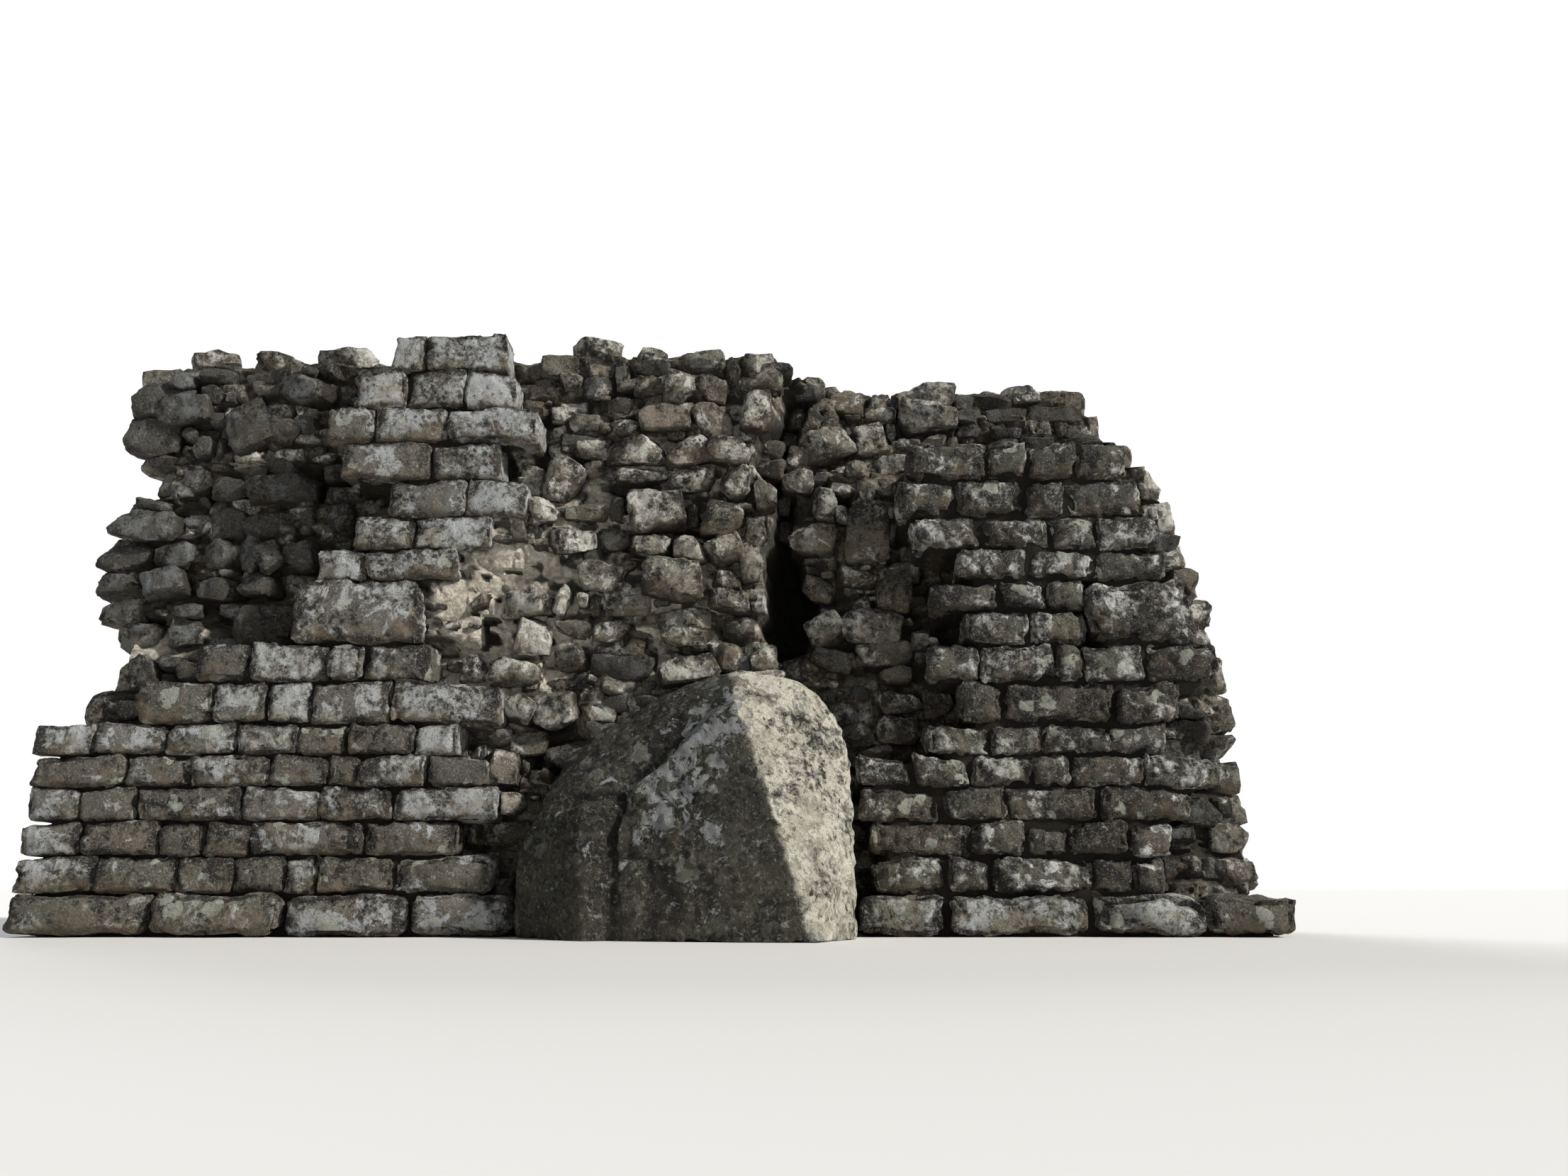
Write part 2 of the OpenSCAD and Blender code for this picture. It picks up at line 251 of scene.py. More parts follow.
def dressedBlocks(heap, style, spans):
    # Squared block: the box less a radius, grown by that radius along the way out, so its arrises
    # are round. The radius swells and shrinks with noise, chips bite the arrises, the face bulges
    # as (1 - a^2)(1 - c^2), each block leans a little its own way, and noise roughens the whole.
    a = heap.arrays()
    unit, half = a["unit"], a["half"]
    spot = unit * half + a["ident"][:, None] * style["ownNoise"]
    lump = layeredNoise(spot, style["lumpSize"], 11)
    own = [latticeValue(a["ident"], i, 7, style["seed"]) for i in range(4)]   # four numbers per block
    radius = style["radius"] * (0.7 + 0.7 * own[0]) * (1 + 0.7 * lump) * a["rough"]
    radius = np.clip(radius, style["leastRadius"], 0.5 * half.min(1))[:, None]
    inner = half - radius
    kept = np.clip(unit * half, -inner, inner)
    out = unit * half - kept
    out /= np.maximum(np.linalg.norm(out, axis=1, keepdims=True), 1e-9)
    shape = kept + radius * out
    near = np.sort(np.abs(unit), axis=1)[:, 1]           # 1 on an arris, less towards a face's middle
    chips = ease(softNoise(spot, style["chipSize"], 31), 0.15, 0.75) * ease(near, 0.55, 1)
    chips = chips + 0.6 * ease(softNoise(spot, style["chipSize"] * 0.4, 33), 0.1, 0.7) * ease(near, 0.6, 1)
    shape -= out * (style["chip"] * a["rough"] * chips)[:, None]
    bulge = (1 - unit[:, 0] ** 2) * (1 - unit[:, 2] ** 2) * (unit[:, 1] < -0.99)
    shape[:, 1] -= style["bulge"] * (0.3 + 1.4 * own[0]) * bulge
    lean = style["lean"] * (np.stack(own[1:], 1) - 0.5)
    shape[:, 2] += lean[:, 0] * unit[:, 0] * (1 + 0.8 * unit[:, 2])
    shape[:, 0] += lean[:, 1] * unit[:, 2]
    shape[:, 1] += lean[:, 2] * unit[:, 0]
    for axis, seed in ((0, 41), (1, 51), (2, 61)):
        shape[:, axis] += style["warp"] * a["rough"] * softNoise(spot, style["warpSize"], seed)
    grain = layeredNoise(spot, style["grainSize"], 71)
    shape += out * (style["grain"] * a["rough"] * grain)[:, None]
    tail = (unit[:, 1] + 1) / 2                            # 0 on the face, 1 on the tail
    shape[:, [0, 2]] *= 1 - style["taper"] * tail[:, None]
    verts = turned(shape, a["turn"]) + a["middle"]
    tail = tail * (1 - style["weathered"] * openSides(verts, turned(unit, a["turn"]), spans))
    facts = {"tone": a["tone"], "warm": a["warm"], "arris": ease(near, 0.6, 1.0), "tail": tail,
             "low": (1 - unit[:, 2]) / 2}
    return verts, a["quads"], a["tris"], facts


def brokenStones(heap, style):
    # Rubble: from the middle of each stone a ray leaves through each lattice point and stops at the
    # nearest of a few cutting planes, and a soft minimum over them rounds the edges between facets.
    a = heap.arrays()
    unit, half, ident = a["unit"], a["half"], a["ident"]
    rng = np.random.default_rng(style["seed"])
    box = np.concatenate([np.eye(3), -np.eye(3)])
    normals = np.concatenate([
        box[None] + rng.normal(0, style["skew"], (heap.count, len(box), 3)),
        rng.normal(0, 1, (heap.count, style["cuts"], 3))], axis=1)
    normals /= np.linalg.norm(normals, axis=2, keepdims=True)
    reach = np.concatenate([
        rng.uniform(*style["sideReach"], (heap.count, len(box))),
        rng.uniform(*style["cutReach"], (heap.count, style["cuts"]))], axis=1)
    away = unit / np.linalg.norm(unit, axis=1, keepdims=True)
    sharp = style["sharp"]
    total = np.full(len(unit), style["cornerReach"] ** -sharp)
    for i in range(len(box) + style["cuts"]):
        facing = np.maximum((away * normals[ident, i]).sum(1), 1e-4)
        total += (facing / reach[ident, i]) ** sharp
    shape = away * (total ** (-1 / sharp))[:, None] * half
    spot = shape + ident[:, None] * style["ownNoise"]
    lump = softNoise(spot, style["lumpSize"], style["seed"] + 3)
    grain = layeredNoise(spot, style["grainSize"], style["seed"] + 5, 2)
    size = np.clip(half.mean(1) / style["roughFrom"], 0.2, 1)
    shape += away * (size * a["rough"] * (style["lump"] * lump + style["grain"] * grain))[:, None]
    verts = turned(shape, a["turn"]) + a["middle"]
    near = np.sort(np.abs(unit), axis=1)[:, 1]
    facts = {"tone": a["tone"], "warm": a["warm"], "arris": ease(near, 0.7, 1.0),
             "tail": style["soil"] * (unit[:, 1] + 1) / 2, "low": (1 - unit[:, 2]) / 2}
    return verts, a["quads"], a["tris"], facts


# Materials


def addNode(tree, kind, inputs=None, **settings):
    # a node with its settings; each input is a value or the socket that feeds it
    node = tree.nodes.new(kind)
    for key, value in settings.items():
        setattr(node, key, value)
    for key, value in (inputs or {}).items():
        if isinstance(value, bpy.types.NodeSocket):
            tree.links.new(value, node.inputs[key])
        else:
            node.inputs[key].default_value = value
    return node


def joined(tree, operation, first, second):
    # the sum, product or other result of two values
    return addNode(tree, "ShaderNodeMath", {0: first, 1: second}, operation=operation).outputs[0]


class StoneNodes:
    # the nodes of one material; each method adds some and gives the socket to go on from

    def __init__(self, name):
        # the place is in metres of the shared frame, because no piece is moved
        self.material = bpy.data.materials.new(name)
        self.material.use_nodes = True
        self.tree = self.material.node_tree
        self.place = addNode(self.tree, "ShaderNodeTexCoord").outputs["Object"]

    def facts(self, *names):
        # one socket for each of the attributes that the pieces carry
        return {name: addNode(self.tree, "ShaderNodeAttribute", attribute_name=name).outputs["Fac"]
                for name in names}

    def noise(self, scale, detail=4.0, roughness=0.55, distortion=0.0):
        # cloudy values from 0 to 1 over the place, with more clouds to the metre as the scale grows
        return addNode(self.tree, "ShaderNodeTexNoise", {
            "Vector": self.place, "Scale": scale, "Detail": detail, "Roughness": roughness,
            "Distortion": distortion}).outputs["Fac"]

    def step(self, value, low, high):
        # 0 below low and 1 above high, with a smooth step between
        return addNode(self.tree, "ShaderNodeMapRange", {
            "Value": value, "From Min": low, "From Max": high}, interpolation_type="SMOOTHSTEP").outputs[0]

    def plus(self, first, second):
        return joined(self.tree, "ADD", first, second)

    def less(self, first, second):
        return joined(self.tree, "SUBTRACT", first, second)

    def times(self, first, second):
        return joined(self.tree, "MULTIPLY", first, second)

    def paint(self, share, under, over):
        # the colour over laid on the colour under by its share
        node = addNode(self.tree, "ShaderNodeMix", data_type="RGBA")
        for index, value in ((0, share), (6, under), (7, over)):
            if isinstance(value, bpy.types.NodeSocket):
                self.tree.links.new(value, node.inputs[index])
            else:
                node.inputs[index].default_value = value if index == 0 else (*value, 1.0)
        return node.outputs[2]

    def spots(self, scale, share):
        # Ragged spots of uneven size: the distance to a scattered point, with the place shaken by
        # finer noise, is set against a radius that is the point's own
        shake = addNode(self.tree, "ShaderNodeTexNoise", {
            "Vector": self.place, "Scale": scale * 2.2, "Detail": 3.0})
        shaken = addNode(self.tree, "ShaderNodeVectorMath", {
            0: shake.outputs["Color"], 1: (0.9 / scale,) * 3, 2: self.place}, operation="MULTIPLY_ADD")
        cells = addNode(self.tree, "ShaderNodeTexVoronoi", {"Vector": shaken.outputs[0], "Scale": scale})
        radius = self.less(cells.outputs["Color"], 1 - share)
        return self.step(self.less(radius, cells.outputs["Distance"]), -0.04, 0.03)

    def finish(self, body, height, look):
        # a dull, rough surface with the colour and the bump that were worked out
        shader = self.tree.nodes["Principled BSDF"]
        self.tree.links.new(body, shader.inputs["Base Color"])
        shader.inputs["Roughness"].default_value = 0.94
        shader.inputs["Specular IOR Level"].default_value = 0.2
        bump = addNode(self.tree, "ShaderNodeBump", {"Height": height, "Strength": look["bump"],
                                                     "Distance": look["bumpDepth"]})
        self.tree.links.new(bump.outputs[0], shader.inputs["Normal"])
        return self.material


def graniteColour(stone, look, facts):
    # Colour of weathered granite in layers: body by stone, clouds, pale crust, olive and black growth
    # in ragged patches, black spots, rosettes of lichen, pepper grains, and buff stone low down.
    # Returns the colour and what stands proud of the stone or is sunk into it.
    noise, step, plus, times, paint = stone.noise, stone.step, stone.plus, stone.times, stone.paint
    body = paint(facts["tone"], look["dark"], look["light"])
    body = paint(times(facts["warm"], look["warmShare"]), body, look["warm"])
    body = paint(times(step(noise(4.0, 4.0, 0.6), 0.40, 0.66), 0.6), body, look["cloud"])
    crust = plus(noise(look["crustScale"], 10.0, 0.70, 0.6), times(facts["tone"], look["crustTone"]))
    crust = step(crust, look["crustFrom"] + 0.05, look["crustFrom"] + 0.075)
    body = paint(times(crust, look["crustShare"]), body, look["crust"])
    body = paint(times(step(noise(2.3, 5.0, 0.6), 0.46, 0.62), look["greenShare"]), body, look["green"])
    start, places = look["growthFrom"], noise(3.1, 3.0)
    growth = plus(noise(look["growthScale"], 10.0, 0.76, 0.3), times(places, 0.40))
    # growth gathers along the arris value; on the boulder that value holds painted shade
    growth = plus(growth, times(facts["arris"], look["growthArris"]))
    soft = step(growth, start - 0.07, start + 0.05)
    body = paint(times(soft, look["growthShare"]), body, look["growth"])
    spots = times(stone.spots(look["spotScale"], look["spotShare"]), step(places, 0.40, 0.56))
    black = joined(stone.tree, "MAXIMUM", step(growth, start + 0.055, start + 0.085), spots)
    body = paint(times(black, look["blackShare"]), body, look["black"])
    body = paint(times(stone.spots(8.5, 0.60), look["rosetteShare"]), body, look["rosette"])
    if "patch" in look:
        patch = plus(times(facts["patch"], 0.42), times(noise(11.0, 9.0, 0.72, 0.5), 3.0))
        body = paint(times(step(patch, 1.83, 1.90), 0.85), body, look["patch"])
    grain = noise(look["grainScale"], 3.0, 0.75)
    body = paint(times(step(grain, 0.55, 0.64), look["grainDark"]), body, look["crystal"])
    body = paint(times(step(grain, 0.45, 0.36), look["grainPale"]), body, look["quartz"])
    stain = step(plus(noise(7.0, 5.0, 0.65), times(facts["low"], 0.22)), 0.62, 0.78)
    body = paint(times(stain, look["stainShare"]), body, look["stain"])
    return body, stone.less(crust, spots)


def graniteHeight(stone, proud):
    # height for the bump: hollows and pits of a few centimetres, crystals of a few millimetres, and
    # the crust that stands proud of the stone
    height = stone.times(proud, 0.07)
    layers = ((15.0, 7.0, 0.70, 0.75), (46.0, 5.0, 0.74, 0.42), (150.0, 2.0, 0.7, 0.20))
    for scale, detail, roughness, share in layers:
        height = stone.plus(height, stone.times(stone.noise(scale, detail, roughness), share))
    return height


def stoneMaterial(name, look):
    # granite of separate stones, with dark soil from a little behind the face to the tail
    stone = StoneNodes(name)
    facts = stone.facts("tone", "warm", "arris", "tail", "low", "patch")
    body, proud = graniteColour(stone, look, facts)
    ragged = stone.times(stone.noise(13.0, 7.0, 0.7), 0.9)
    soil = stone.step(stone.plus(facts["tail"], ragged), 0.50, 0.88)
    body = stone.paint(stone.times(soil, look["soilShare"]), body, look["soil"])
    return stone.finish(body, graniteHeight(stone, proud), look)


granite = {
    "dark": (0.078, 0.076, 0.070), "light": (0.24, 0.237, 0.222), "warm": (0.21, 0.163, 0.115),
    "warmShare": 0.5, "cloud": (0.14, 0.138, 0.125), "grainScale": 95.0, "grainDark": 0.55,
    "grainPale": 0.32, "crystal": (0.06, 0.056, 0.05), "quartz": (0.56, 0.54, 0.49),
    "crustScale": 5.0, "crustFrom": 0.505, "crustShare": 0.88, "crust": (0.60, 0.607, 0.59),
    "crustTone": 0.15, "greenShare": 0.28, "green": (0.19, 0.20, 0.14), "growthScale": 17.0,
    "growthArris": 0.06, "growthFrom": 0.70, "growthShare": 0.78, "growth": (0.085, 0.08, 0.066),
    "blackShare": 0.88, "black": (0.016, 0.015, 0.014), "spotScale": 34.0, "spotShare": 0.58,
    "rosetteShare": 0.7, "rosette": (0.40, 0.42, 0.36), "stainShare": 0.45, "stain": (0.19, 0.145, 0.095),
    "soilShare": 0.94, "soil": (0.035, 0.028, 0.02), "bump": 1.0, "bumpDepth": 0.020,
}
# the crust here, and in the looks made from it, is tinted blue: painted shade, as in light from a blue sky
leftLook = dict(granite, crustScale=3.8, crustFrom=0.545, crustTone=0.26, crustShare=0.84,
                crust=(0.49, 0.515, 0.525), growthArris=0.13, growthFrom=0.715, growthScale=21.0,
                spotShare=0.62)
# the right face's body is darker than the left's: partly painted shade, as the right face is dimmer, and
# partly greener weathering
rightShadedLook = dict(granite, dark=(0.036, 0.038, 0.035), light=(0.145, 0.149, 0.137), greenShare=0.45,
                 growthFrom=0.665, crustFrom=0.520, crust=(0.70, 0.72, 0.70), warm=(0.17, 0.115, 0.075),
                 cloud=(0.082, 0.084, 0.076), stain=(0.12, 0.093, 0.064), growth=(0.06, 0.057, 0.048))
rearLook = dict(leftLook, dark=(0.10, 0.096, 0.083), light=(0.27, 0.262, 0.235), greenShare=0.45)
rubbleLook = dict(granite, dark=(0.038, 0.036, 0.031), light=(0.47, 0.44, 0.38), warmShare=0.55,
                  warm=(0.30, 0.225, 0.155), cloud=(0.085, 0.080, 0.068), crustFrom=0.535,
                  crust=(0.70, 0.69, 0.64), greenShare=0.15, rosetteShare=0.4, soilShare=0.88,
                  growthFrom=0.70, stain=(0.18, 0.138, 0.092), bumpDepth=0.026)
# darker and bluer than the rubble, for the stones at both ends of the core: partly damp stone, partly
# painted shade
dampShadedLook = dict(rubbleLook, dark=(0.021, 0.022, 0.023), light=(0.115, 0.118, 0.118),
                warm=(0.095, 0.077, 0.058), cloud=(0.040, 0.041, 0.041), crust=(0.18, 0.192, 0.20),
                rosette=(0.145, 0.155, 0.148), stain=(0.065, 0.055, 0.043), quartz=(0.36, 0.36, 0.35))
# the boulder's light colour is painted light on its right facet, with crust, and its dark colour and
# growth are painted shade on its left side
boulderLook = dict(granite, dark=(0.018, 0.019, 0.018), light=(0.88, 0.835, 0.70), grainScale=40.0,
                   cloud=(0.037, 0.039, 0.036), grainDark=0.42, grainPale=0.24, crustScale=3.6,
                   crustFrom=0.56, crustShare=0.9, crust=(0.88, 0.84, 0.73), growthScale=22.0,
                   growthFrom=0.755, growthArris=0.15, growthShare=0.75, growth=(0.10, 0.10, 0.08),
                   soilShare=0.0, spotShare=0.56, stain=(0.12, 0.10, 0.07), stainShare=0.30,
                   green=(0.30, 0.31, 0.21), greenShare=0.20, bumpDepth=0.055, rosetteShare=0.3,
                   patch=(0.37, 0.39, 0.40))


# Front face

# heights at which courses and footing begin and end
beds = sorted({round(float(corner.z), 4) for n in leftFace + rightFace + ["footing_left"]
               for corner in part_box(n)})
# how deep the joints' notches lie behind the face, how near a bed counts, and the shortest block
rowSearch = {"notchFrom": 0.0335, "notchTo": 0.07, "sameBed": 0.0002, "leastBlock": 0.03}


def jointsOf(node, faceY, way):
    # Each joint is an upright notch, so its x stands at both the lower and the upper bed of its
    # row, behind the face. A row's ends are the lowest and highest x that both beds share.
    co = np.empty(len(nodes[node].data.vertices) * 3)
    nodes[node].data.vertices.foreach_get("co", co)
    co = np.round(co.reshape(-1, 3), 4)
    depth = way * (co[:, 1] - faceY)
    notch = (depth > rowSearch["notchFrom"]) & (depth < rowSearch["notchTo"])
    bottom, top = co[:, 2].min(), co[:, 2].max()
    levels = [bottom, top] if "block" in node else [z for z in beds if bottom - 0.001 < z < top + 0.001]
    rows = []
    for z0, z1 in zip(levels[:-1], levels[1:]):
        low, high = (abs(co[:, 2] - z) < rowSearch["sameBed"] for z in (z0, z1))
        ends = co[low if low.any() else high][:, 0]
        if low.any() and high.any():
            ends = np.intersect1d(ends, co[high][:, 0])
        first, last, least = ends.min(), ends.max(), rowSearch["leastBlock"]
        joints = np.intersect1d(co[low & notch][:, 0], co[high & notch][:, 0])
        joints = joints[(joints > first + least) & (joints < last - least)]
        rows.append((z0, z1, np.array([first, *joints, last])))
    return rows


rowsOf = {n: jointsOf(n, wall["faceY"], 1) for n in leftFace + rightFace}
rowsOf.update({n: jointsOf(n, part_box(n)[0].y, 1) for n in footings})
rowsOf.update({n: jointsOf(n, wall["rearY"], -1) for n in rearLifts})


def spansOf(names):
    # ends and beds of every row in the nodes
    return [(joints[0], joints[-1], z0, z1) for n in names for z0, z1, joints in rowsOf[n]]


frontSpans = spansOf(leftFace + rightFace + footings)
rearSpans = spansOf(rearLifts)

# blocks that differ from the rest, by node and number in it: tone, warmth and roughness
oddBlocks = {
    ("left_great_block", 0): (0.45, 0.30, 1.2), ("right_great_block", 0): (0.70, 0.25, 1.3),
    ("right_course_02", 0): (0.25, 1.0, 1.1), ("right_course_03", 2): (0.05, 0.8, 1.0),
    ("right_course_03", 3): (0.05, 0.9, 1.0), ("left_course_11", 1): (1.0, 0.05, 0.9),
    ("left_course_11", 0): (1.0, 0.05, 0.9), ("left_course_12", 1): (1.0, 0.05, 0.9),
    ("left_course_14", 2): (0.9, 0.05, 1.1), ("left_course_07", 1): (1.0, 0.1, 1.0),
    ("left_course_06", 4): (0.8, 1.0, 1.35),
}


def addRows(heap, node, front, blocks, rng):
    # One block for each pair of joints, smaller than its place by the open joints, its face a
    # little way in from the row's front and its tail on the seat
    seat, number = blocks["seat"], 0
    for z0, z1, joints in rowsOf[node]:
        high = ease(z0, 0.9, 1.9)                              # the foot is browner, the head paler
        for x0, x1 in zip(joints[:-1], joints[1:]):
            gap = blocks["gap"] * rng.uniform(0.5, 1.5, 4)
            push = np.sign(seat - front) * blocks["push"] * rng.uniform(0, 1)
            near = np.array([x0 + gap[0], front + push, z0 + gap[1]])
            far = np.array([x1 - gap[2], seat, z1 - gap[3]])
            half = np.abs(far - near) / 2
            steps = (stepsOver(half[0], blocks["spacing"], 6, 40), blocks["deep"],
                     stepsOver(half[2], blocks["spacing"], 4, 24), blocks["caps"])
            slant = rng.normal(0, blocks["slant"], 3) + np.array([0, 0, blocks["turn"]])
            tone, rough = rng.uniform(0.0, 0.75) + 0.25 * high, rng.uniform(0.8, 1.3)
            warm = rng.uniform(0, 0.85) ** 2 + 0.15 - 0.15 * high
            tone, warm, rough = oddBlocks.get((node, number), (tone, warm, rough))
            heap.add((near + far) / 2, half, steps, slant, rough, tone, warm)
            number += 1


def layFace(name, fronts, blocks, material, spans):
    # a piece of squared blocks in the rows of its nodes; fronts holds the y of each node's front
    rng = np.random.default_rng(blocks["seed"])
    heap = StoneHeap()
    for node, front in fronts.items():
        addRows(heap, node, front, blocks, rng)
    makePiece(name, dressedBlocks(heap, blocks, spans), material, list(fronts))


leftBlocks = {
    "seat": wall["coreSeat"], "turn": 0.0, "gap": 0.0028, "push": 0.018, "spacing": 0.0130, "deep": 7,
    "caps": 6, "slant": 0.014, "lumpSize": 0.13, "radius": 0.020, "leastRadius": 0.006, "chipSize": 0.085,
    "chip": 0.024, "bulge": 0.012, "lean": 0.017, "warp": 0.011, "warpSize": 0.15, "grainSize": 0.034,
    "grain": 0.0095, "taper": 0.04, "weathered": 0.93, "seed": 101,
    "ownNoise": np.array([7.3, 3.1, 5.7]),        # from one stone's part of the noise to the next one's
}
rightBlocks = dict(leftBlocks, gap=0.0055, push=0.034, radius=0.028, bulge=0.016, chip=0.034, warp=0.015,
                   chipSize=0.07, grainSize=0.032, grain=0.0135, lean=0.026, slant=0.024, seed=202)
layFace("frontFaceLeft", dict.fromkeys(leftFace, wall["faceY"]), leftBlocks,
        stoneMaterial("weatheredGraniteLeft", leftLook), frontSpans)
layFace("frontFaceRight", dict.fromkeys(rightFace, wall["faceY"]), rightBlocks,
        stoneMaterial("shadedWeatheredGraniteRight", rightShadedLook), frontSpans)


# Rear face and footing

rearBlocks = dict(leftBlocks, seat=wall["rearSeat"], turn=math.pi, gap=0.007, spacing=0.045, deep=3,
                  caps=3, radius=0.026, seed=303)
layFace("rearFace", dict.fromkeys(rearLifts, wall["rearY"] - 0.024), rearBlocks,
        stoneMaterial("weatheredGraniteRear", rearLook), rearSpans)
footingBlocks = dict(leftBlocks, gap=0.008, push=0.03, spacing=0.020, radius=0.045, chip=0.04,
                     warp=0.024, bulge=0.02, slant=0.02, seed=404)
layFace("footingStones", {n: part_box(n)[0].y + 0.01 for n in footings}, footingBlocks,
        stoneMaterial("footingGranite", rearLook), frontSpans)


# Core

core = {
    "setback": [(-3.075, 0.12), (-1.9, 0.06), (-1.1, 0.0), (0.0, -0.06), (0.54, -0.09), (0.62, 0.20),
                (1.3, 0.16), (3.075, 0.10)],      # behind the tails of the blocks, along the wall
    "deepest": 0.52,                              # no part of the bare front lies further back
    # how far in the two ends lie, course by course from the foot
    "leftInset": [0, 0, 0, 0, 0, 0, .125, .125, 0, 0, 0, .075, .225, .075, .075, .075],
    "rightInset": [0, 0, .02, .04, .08, .06, .06, .12, .12, .16, .22, .28, .35, .48, .60, .68],
    "jointDepth": 0.052,                          # of the mortar between the blocks, behind the face
    "ledges": (2.485, 2.680, 2.890), "ledgeStep": 0.11,   # heights above which the front steps back
    # the cleft: heights, its left and right edges there, and its depth
    "cleftZ": [1.42, 1.56, 1.66, 1.78, 1.90, 2.05, 2.22, 2.32, 2.40, 2.50, 2.62, 2.70, 2.80, 2.93],
    "cleftLeft": [.56, .50, .53, .53, .515, .556, .569, .54, .47, .45, .46, .56, .60, .62],
    "cleftRight": [.72, .76, .80, .82, .73, .68, .69, .69, .66, .62, .66, .70, .74, .78],
    "cleftDeep": 0.43, "cleftWander": 0.014, "cleftRim": (-0.012, 0.036), "cleftEnds": (0.04, 0.05),
    # whole mortar beside the rows: how far forward it stands, the length over which it fades, and
    # where it begins and ends in height and along the wall
    "limeForward": 0.22, "limeFade": 0.19, "limeLow": (1.40, 1.50), "limeHigh": (2.05, 2.35),
    "limeLeft": (-1.5, -1.3),
    "limePatches": [(1.00, -0.90, 1.58, 0.40, 0.50), (0.80, -2.75, 1.50, 0.40, 0.17),
                    (0.62, -0.05, 1.95, 0.60, 0.65)],   # share, middle, half width and half rise
    # hollows where stones have gone: middle, half width, half rise and depth
    "hollows": [
        (0.95, 2.31, 0.05, 0.06, 0.10), (-0.17, 2.31, 0.13, 0.04, 0.10), (-2.85, 1.57, 0.12, 0.08, 0.12),
        (0.10, 1.42, 0.13, 0.035, 0.09), (-0.56, 0.86, 0.14, 0.16, 0.10), (-1.86, 2.38, 0.10, 0.13, 0.10),
        (1.24, 2.01, 0.05, 0.10, 0.08), (1.31, 1.88, 0.12, 0.05, 0.08), (1.47, 1.50, 0.07, 0.08, 0.08),
        (-2.33, 1.80, 0.07, 0.09, 0.06), (-1.94, 2.05, 0.08, 0.04, 0.06),
    ],
    # the mesh: ends of its finer middle, outermost station, stations in its three lengths, rows of the
    # front, top, rear and underside, foot and top, and how far its rear, its closing line, its ends
    # and the rings that close them lie inside
    "fineFrom": -1.3, "fineTo": 1.6, "outmost": 3.03, "stations": (95, 232, 75), "rows": (190, 16, 8, 4),
    "capRings": 22, "foot": 0.003, "top": 3.055, "rearIn": 0.078, "lineIn": 0.14, "drawIn": 0.075,
    "closeIn": 0.30,
}
coreRelief = {                                    # in metres
    "big": 0.032, "middle": 0.020, "small": 0.010, "crease": 0.020, "pit": 0.030, "forward": 0.006,
    "behindLime": 0.026, "stone": 0.006, "stoneMore": 0.040, "joint": 0.012,
}


def rowsCover(x, z, drawn):
    # 1 where blocks of the face stand, falling to 0 over some width inside the rows' ends
    cover = np.zeros(len(x))
    for x0, x1, z0, z1 in frontSpans:
        inside = ease(x, x0 + 0.02, x0 + 0.02 + drawn) * ease(-x, 0.02 - x1, 0.02 + drawn - x1)
        cover = np.maximum(cover, inside * ((z > z0 - 0.004) & (z < z1 + 0.004)))
    return cover


def coverOf(x, z, drawn=0.02):
    # cover by the rows, lowered a little where no row stands on the one below
    return np.minimum(rowsCover(x, z, drawn), rowsCover(x, z + 0.03, drawn))


def cleftOf(x, z):
    # 1 between the cleft's two edges, 0 a few centimetres outside them and above and below it
    place = np.stack([z, z * 0, z * 0], 1)
    wander = core["cleftWander"] * softNoise(place, 0.06, 6)
    left = x - np.interp(z, core["cleftZ"], core["cleftLeft"]) + wander
    right = np.interp(z, core["cleftZ"], core["cleftRight"]) - x + wander
    slot = ease(left, *core["cleftRim"]) * ease(right, *core["cleftRim"])
    foot, head = core["cleftZ"][0], core["cleftZ"][-1]
    below, above = core["cleftEnds"]
    return slot * ease(z, foot - below, foot + below) * ease(-z, -head - above, -head + above)


def limeOf(x, z):
    # share of whole lime mortar, in round patches: the largest lies low on the left of the bare core
    total = sum(share * np.exp(-((x - cx) / wide) ** 2 - ((z - cz) / high) ** 2)
                for share, cx, cz, wide, high in core["limePatches"])
    return np.clip(total, 0, 1)


leftEnds = sorted(((z0 + z1) / 2, x1) for x0, x1, z0, z1 in spansOf(leftFace))


def besideRows(x, z):
    # 1 at the right ends of the left rows, fading to the right: there the mortar of lost blocks stands
    heights, ends = zip(*leftEnds)
    away = np.maximum(x - np.interp(z, heights, ends), 0)
    low, high = core["limeHigh"]
    share = np.exp(-away / core["limeFade"]) * ease(z, *core["limeLow"])
    return share * ease(-z, -high, -low) * ease(x, *core["limeLeft"])


def hollowOf(x, z):
    # depth of the hollows: full in the middle of an uneven oval, and nothing at its rim
    wave = 0.5 * softNoise(np.stack([x, z, z * 0], 1), 0.07, 21)
    return sum(deep * (1 - ease(np.hypot((x - cx) / wide, (z - cz) / high) + wave, 0.6, 1.3))
               for cx, cz, wide, high, deep in core["hollows"])


def bareFront(x, z):
    # y of the bare core before its relief: setback along the wall, ledges high on the right, cleft
    setX, setY = zip(*core["setback"])
    ledges = sum(ease(z, level - 0.02, level + 0.02) for level in core["ledges"])
    ledges = ledges * core["ledgeStep"] * ease(x, 0.70, 0.95)
    cleft = cleftOf(x, z) * core["cleftDeep"] * (0.5 + 0.5 * ease(-z, -2.15, -1.80))
    whole = core["limeForward"] * besideRows(x, z)
    back = np.minimum(np.interp(x, setX, setY) + ledges + cleft - whole, core["deepest"])
    return wall["coreSeat"] + back


# half-buried stones: height and length of a cell, how much its joints vary, and how its rows waver
cells = {"layer": 0.135, "length": 0.215, "vary": 0.5, "seed": 87, "waver": 0.035, "fine": 0.012,
         "sway": 0.03}


